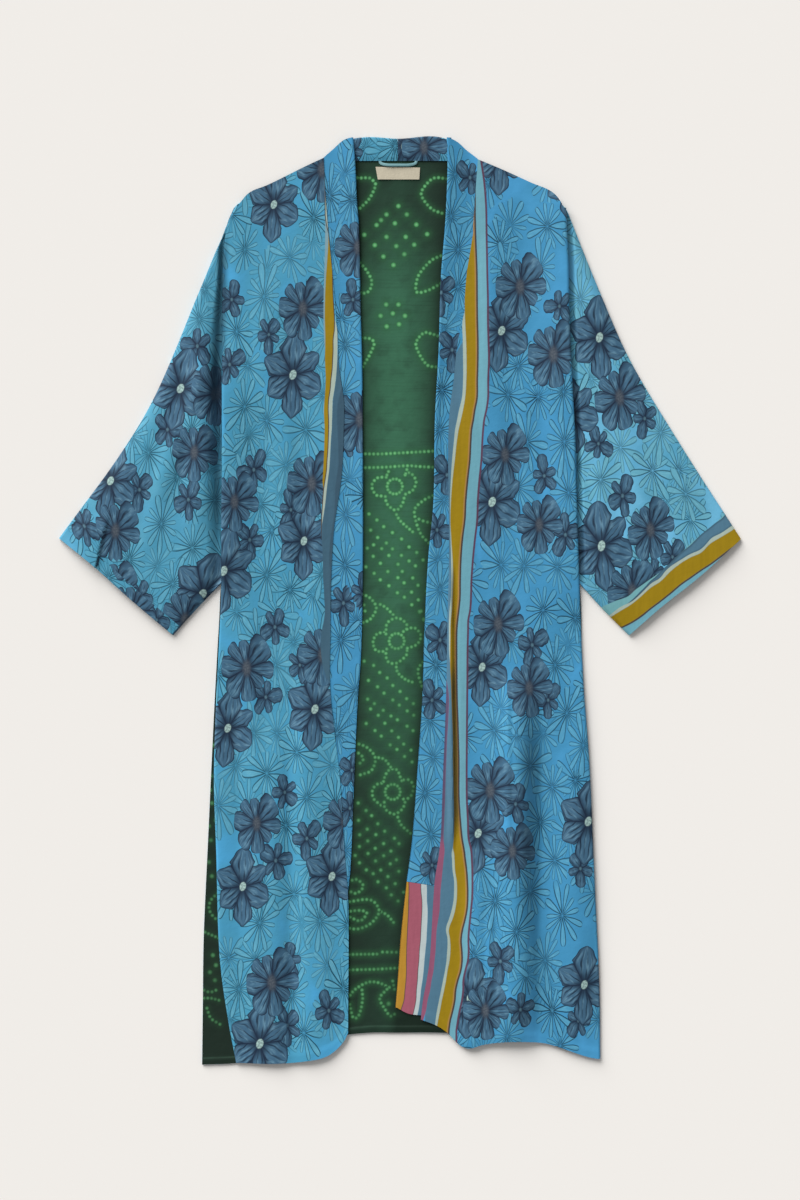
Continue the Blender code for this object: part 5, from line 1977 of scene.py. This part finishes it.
# Painted shade where creases lie in shade: each height is a share of darkness laid on the silk
LEFT_FRONT_CREASE_SHADE = (Fold(-243.5, 284, -237, 522, 0.70, 12, 10, taper=0.3),)
LEFT_SLEEVE_CREASE_SHADE = (
    Fold(-254, 245, -236, 518, 0.70, 8, 14, taper=0.3), Fold(-246, 50, -248.5, 345, 0.6, 10, 14))
RIGHT_FRONT_CREASE_SHADE = (Fold(170, -490, 172.5, -50, 0.42, 22, 22, taper=0.35),)
CUFF_CREASE = Fold(-391.5, 124, -421.7, 1.2, 4.2, 50, 2.2, 2.0, 1.0, 0.3)
LEFT_SLEEVE_FOLDS = (
    Fold(-270, 60, -261, 440, 6.0, 34, 22),
    Fold(-262, 330, -330, 120, 2.4, 24, 20), Fold(-300, 250, -350, 40, 1.8, 18, 26))
RIGHT_SLEEVE_FOLDS = (
    Fold(264, 330, 345, 90, 2.4, 20, 26), Fold(300, 300, 410, 110, 2.0, 24, 18),
    Fold(262, 200, 292, 0, 2.0, 16, 20))


LEFT_SLEEVE = Sleeve(
    node="left_sleeve", side=-1, front_side=LEFT_FRONT_SIDE, chart=LEFT_SLEEVE_CHART,
    outline=Outline(
        left=((-241, 23), (-274, -11), (-306, -47)),
        right=((-209, 541), (-221, 533), (-227, 520), (-235, 499), (-243, 483), (-256, 452),
               (-270, 419), (-333, 271), (-378, 196), (-460, 84)),
        low=LEFT_ARMHOLE, high=((-306, -47), (-364, 2), (-414, 47), (-460, 84))),
    silk=PrintedSilk("left_sleeve_print", ground=SLEEVE_AZURE, deep=SLEEVE_DEEP), cut=SLEEVE_CUT,
    folds=LEFT_SLEEVE_FOLDS, creases=LEFT_SLEEVE_CREASE_SHADE, cuff_crease=CUFF_CREASE, hem=15.0,
    drops=((318, 17.0), (425, 5.0)), crowd=2.4, columns=112)
RIGHT_SLEEVE = Sleeve(
    node="right_sleeve", side=1, front_side=RIGHT_FRONT_SIDE, chart=RIGHT_SLEEVE_CHART,
    outline=Outline(
        left=((242, 23), (275, -13), (309, -47)),
        right=((209, 538), (222, 531), (231, 512), (242, 484), (254, 454), (273, 408), (310, 325),
               (378, 211), (460, 83)),
        low=RIGHT_ARMHOLE, high=((309, -47), (351, -10), (405, 33), (460, 83))),
    # the right sleeve's paler print is painted light
    silk=PrintedSilk("right_sleeve_lit_print", CUFF_BORDER, LIT_SLEEVE_AZURE, LIT_SLEEVE_DEEP, LIT_DAISY),
    cut=SLEEVE_CUT, folds=RIGHT_SLEEVE_FOLDS, sink=4.0, drops=((0, 5.5),))
LEFT_BAND = Strip(
    node="left_band", chart=LEFT_BAND_CHART, silk=PLAIN_SILK, cut=(0.07, 1.22),
    outline=Outline(LEFT_BAND_FREE, LEFT_BAND_SEWN, LEFT_BAND_FOOT, LEFT_BAND_TOP))
RIGHT_BAND = Strip(
    node="right_band", chart=RIGHT_BAND_CHART, silk=PLAIN_SILK, cut=(0.07, 1.02),
    outline=Outline(RIGHT_BAND_FREE, RIGHT_BAND_SEWN, RIGHT_BAND_FOOT, RIGHT_BAND_TOP))
RIGHT_BAND_END = Strip(
    node="right_band_end", chart=Chart(), cut=(0.07, 0.185), rows=60, slot="striped_silk",
    silk=PrintedSilk("band_end_print", BAND_END_BORDER),
    outline=Outline(BAND_END_FREE, BAND_END_SEWN, BAND_END_FOOT, BAND_END_HEAD))
NECK_LEFT = NeckHalf(node="neck_band_left", start=-76.0, end=-3.15, chart=NECK_LEFT_CHART,
                     silk=NECK_SILK)
NECK_RIGHT = NeckHalf(node="neck_band_right", start=-2.85, end=76.0, chart=NECK_RIGHT_CHART,
                      silk=NECK_SILK)
LEFT_FRONT = Front(
    node="left_front", chart=LEFT_FRONT_CHART, cut=(0.2, 1.26),
    outline=Outline(LEFT_FRONT_SIDE, LEFT_FRONT_SEAM, LEFT_FRONT_HEM, LEFT_SHOULDER),
    silk=PrintedSilk("left_front_print", LEFT_FRONT_BORDER),
    folds=LEFT_FRONT_FOLDS, creases=LEFT_FRONT_CREASE_SHADE)
RIGHT_FRONT = Front(
    node="right_front", chart=RIGHT_FRONT_CHART, cut=(0.26, 1.24),
    outline=Outline(RIGHT_FRONT_SIDE, RIGHT_FRONT_SEAM, RIGHT_FRONT_HEM, RIGHT_SHOULDER),
    silk=PrintedSilk("right_front_print", RIGHT_FRONT_BORDER, RIGHT_AZURE, RIGHT_DEEP, RIGHT_DAISY),
    folds=RIGHT_FRONT_FOLDS, creases=RIGHT_FRONT_CREASE_SHADE, ripple=Ripple(height=0.75, seed=9))


def main() -> None:
    """Set up the studio, then dress each piece of the robe from the back up."""
    logging.basicConfig(level=logging.INFO, format="%(message)s")
    Studio().set_up()
    back = Back()
    back.dress_outer()
    back.dress_lining()
    for piece in (LEFT_SLEEVE, RIGHT_SLEEVE, LEFT_BAND, RIGHT_BAND, RIGHT_BAND_END, NECK_LEFT,
                  NECK_RIGHT, LEFT_FRONT, RIGHT_FRONT, Label(), HangingLoop()):
        piece.dress()


if __name__ == "__main__":
    main()
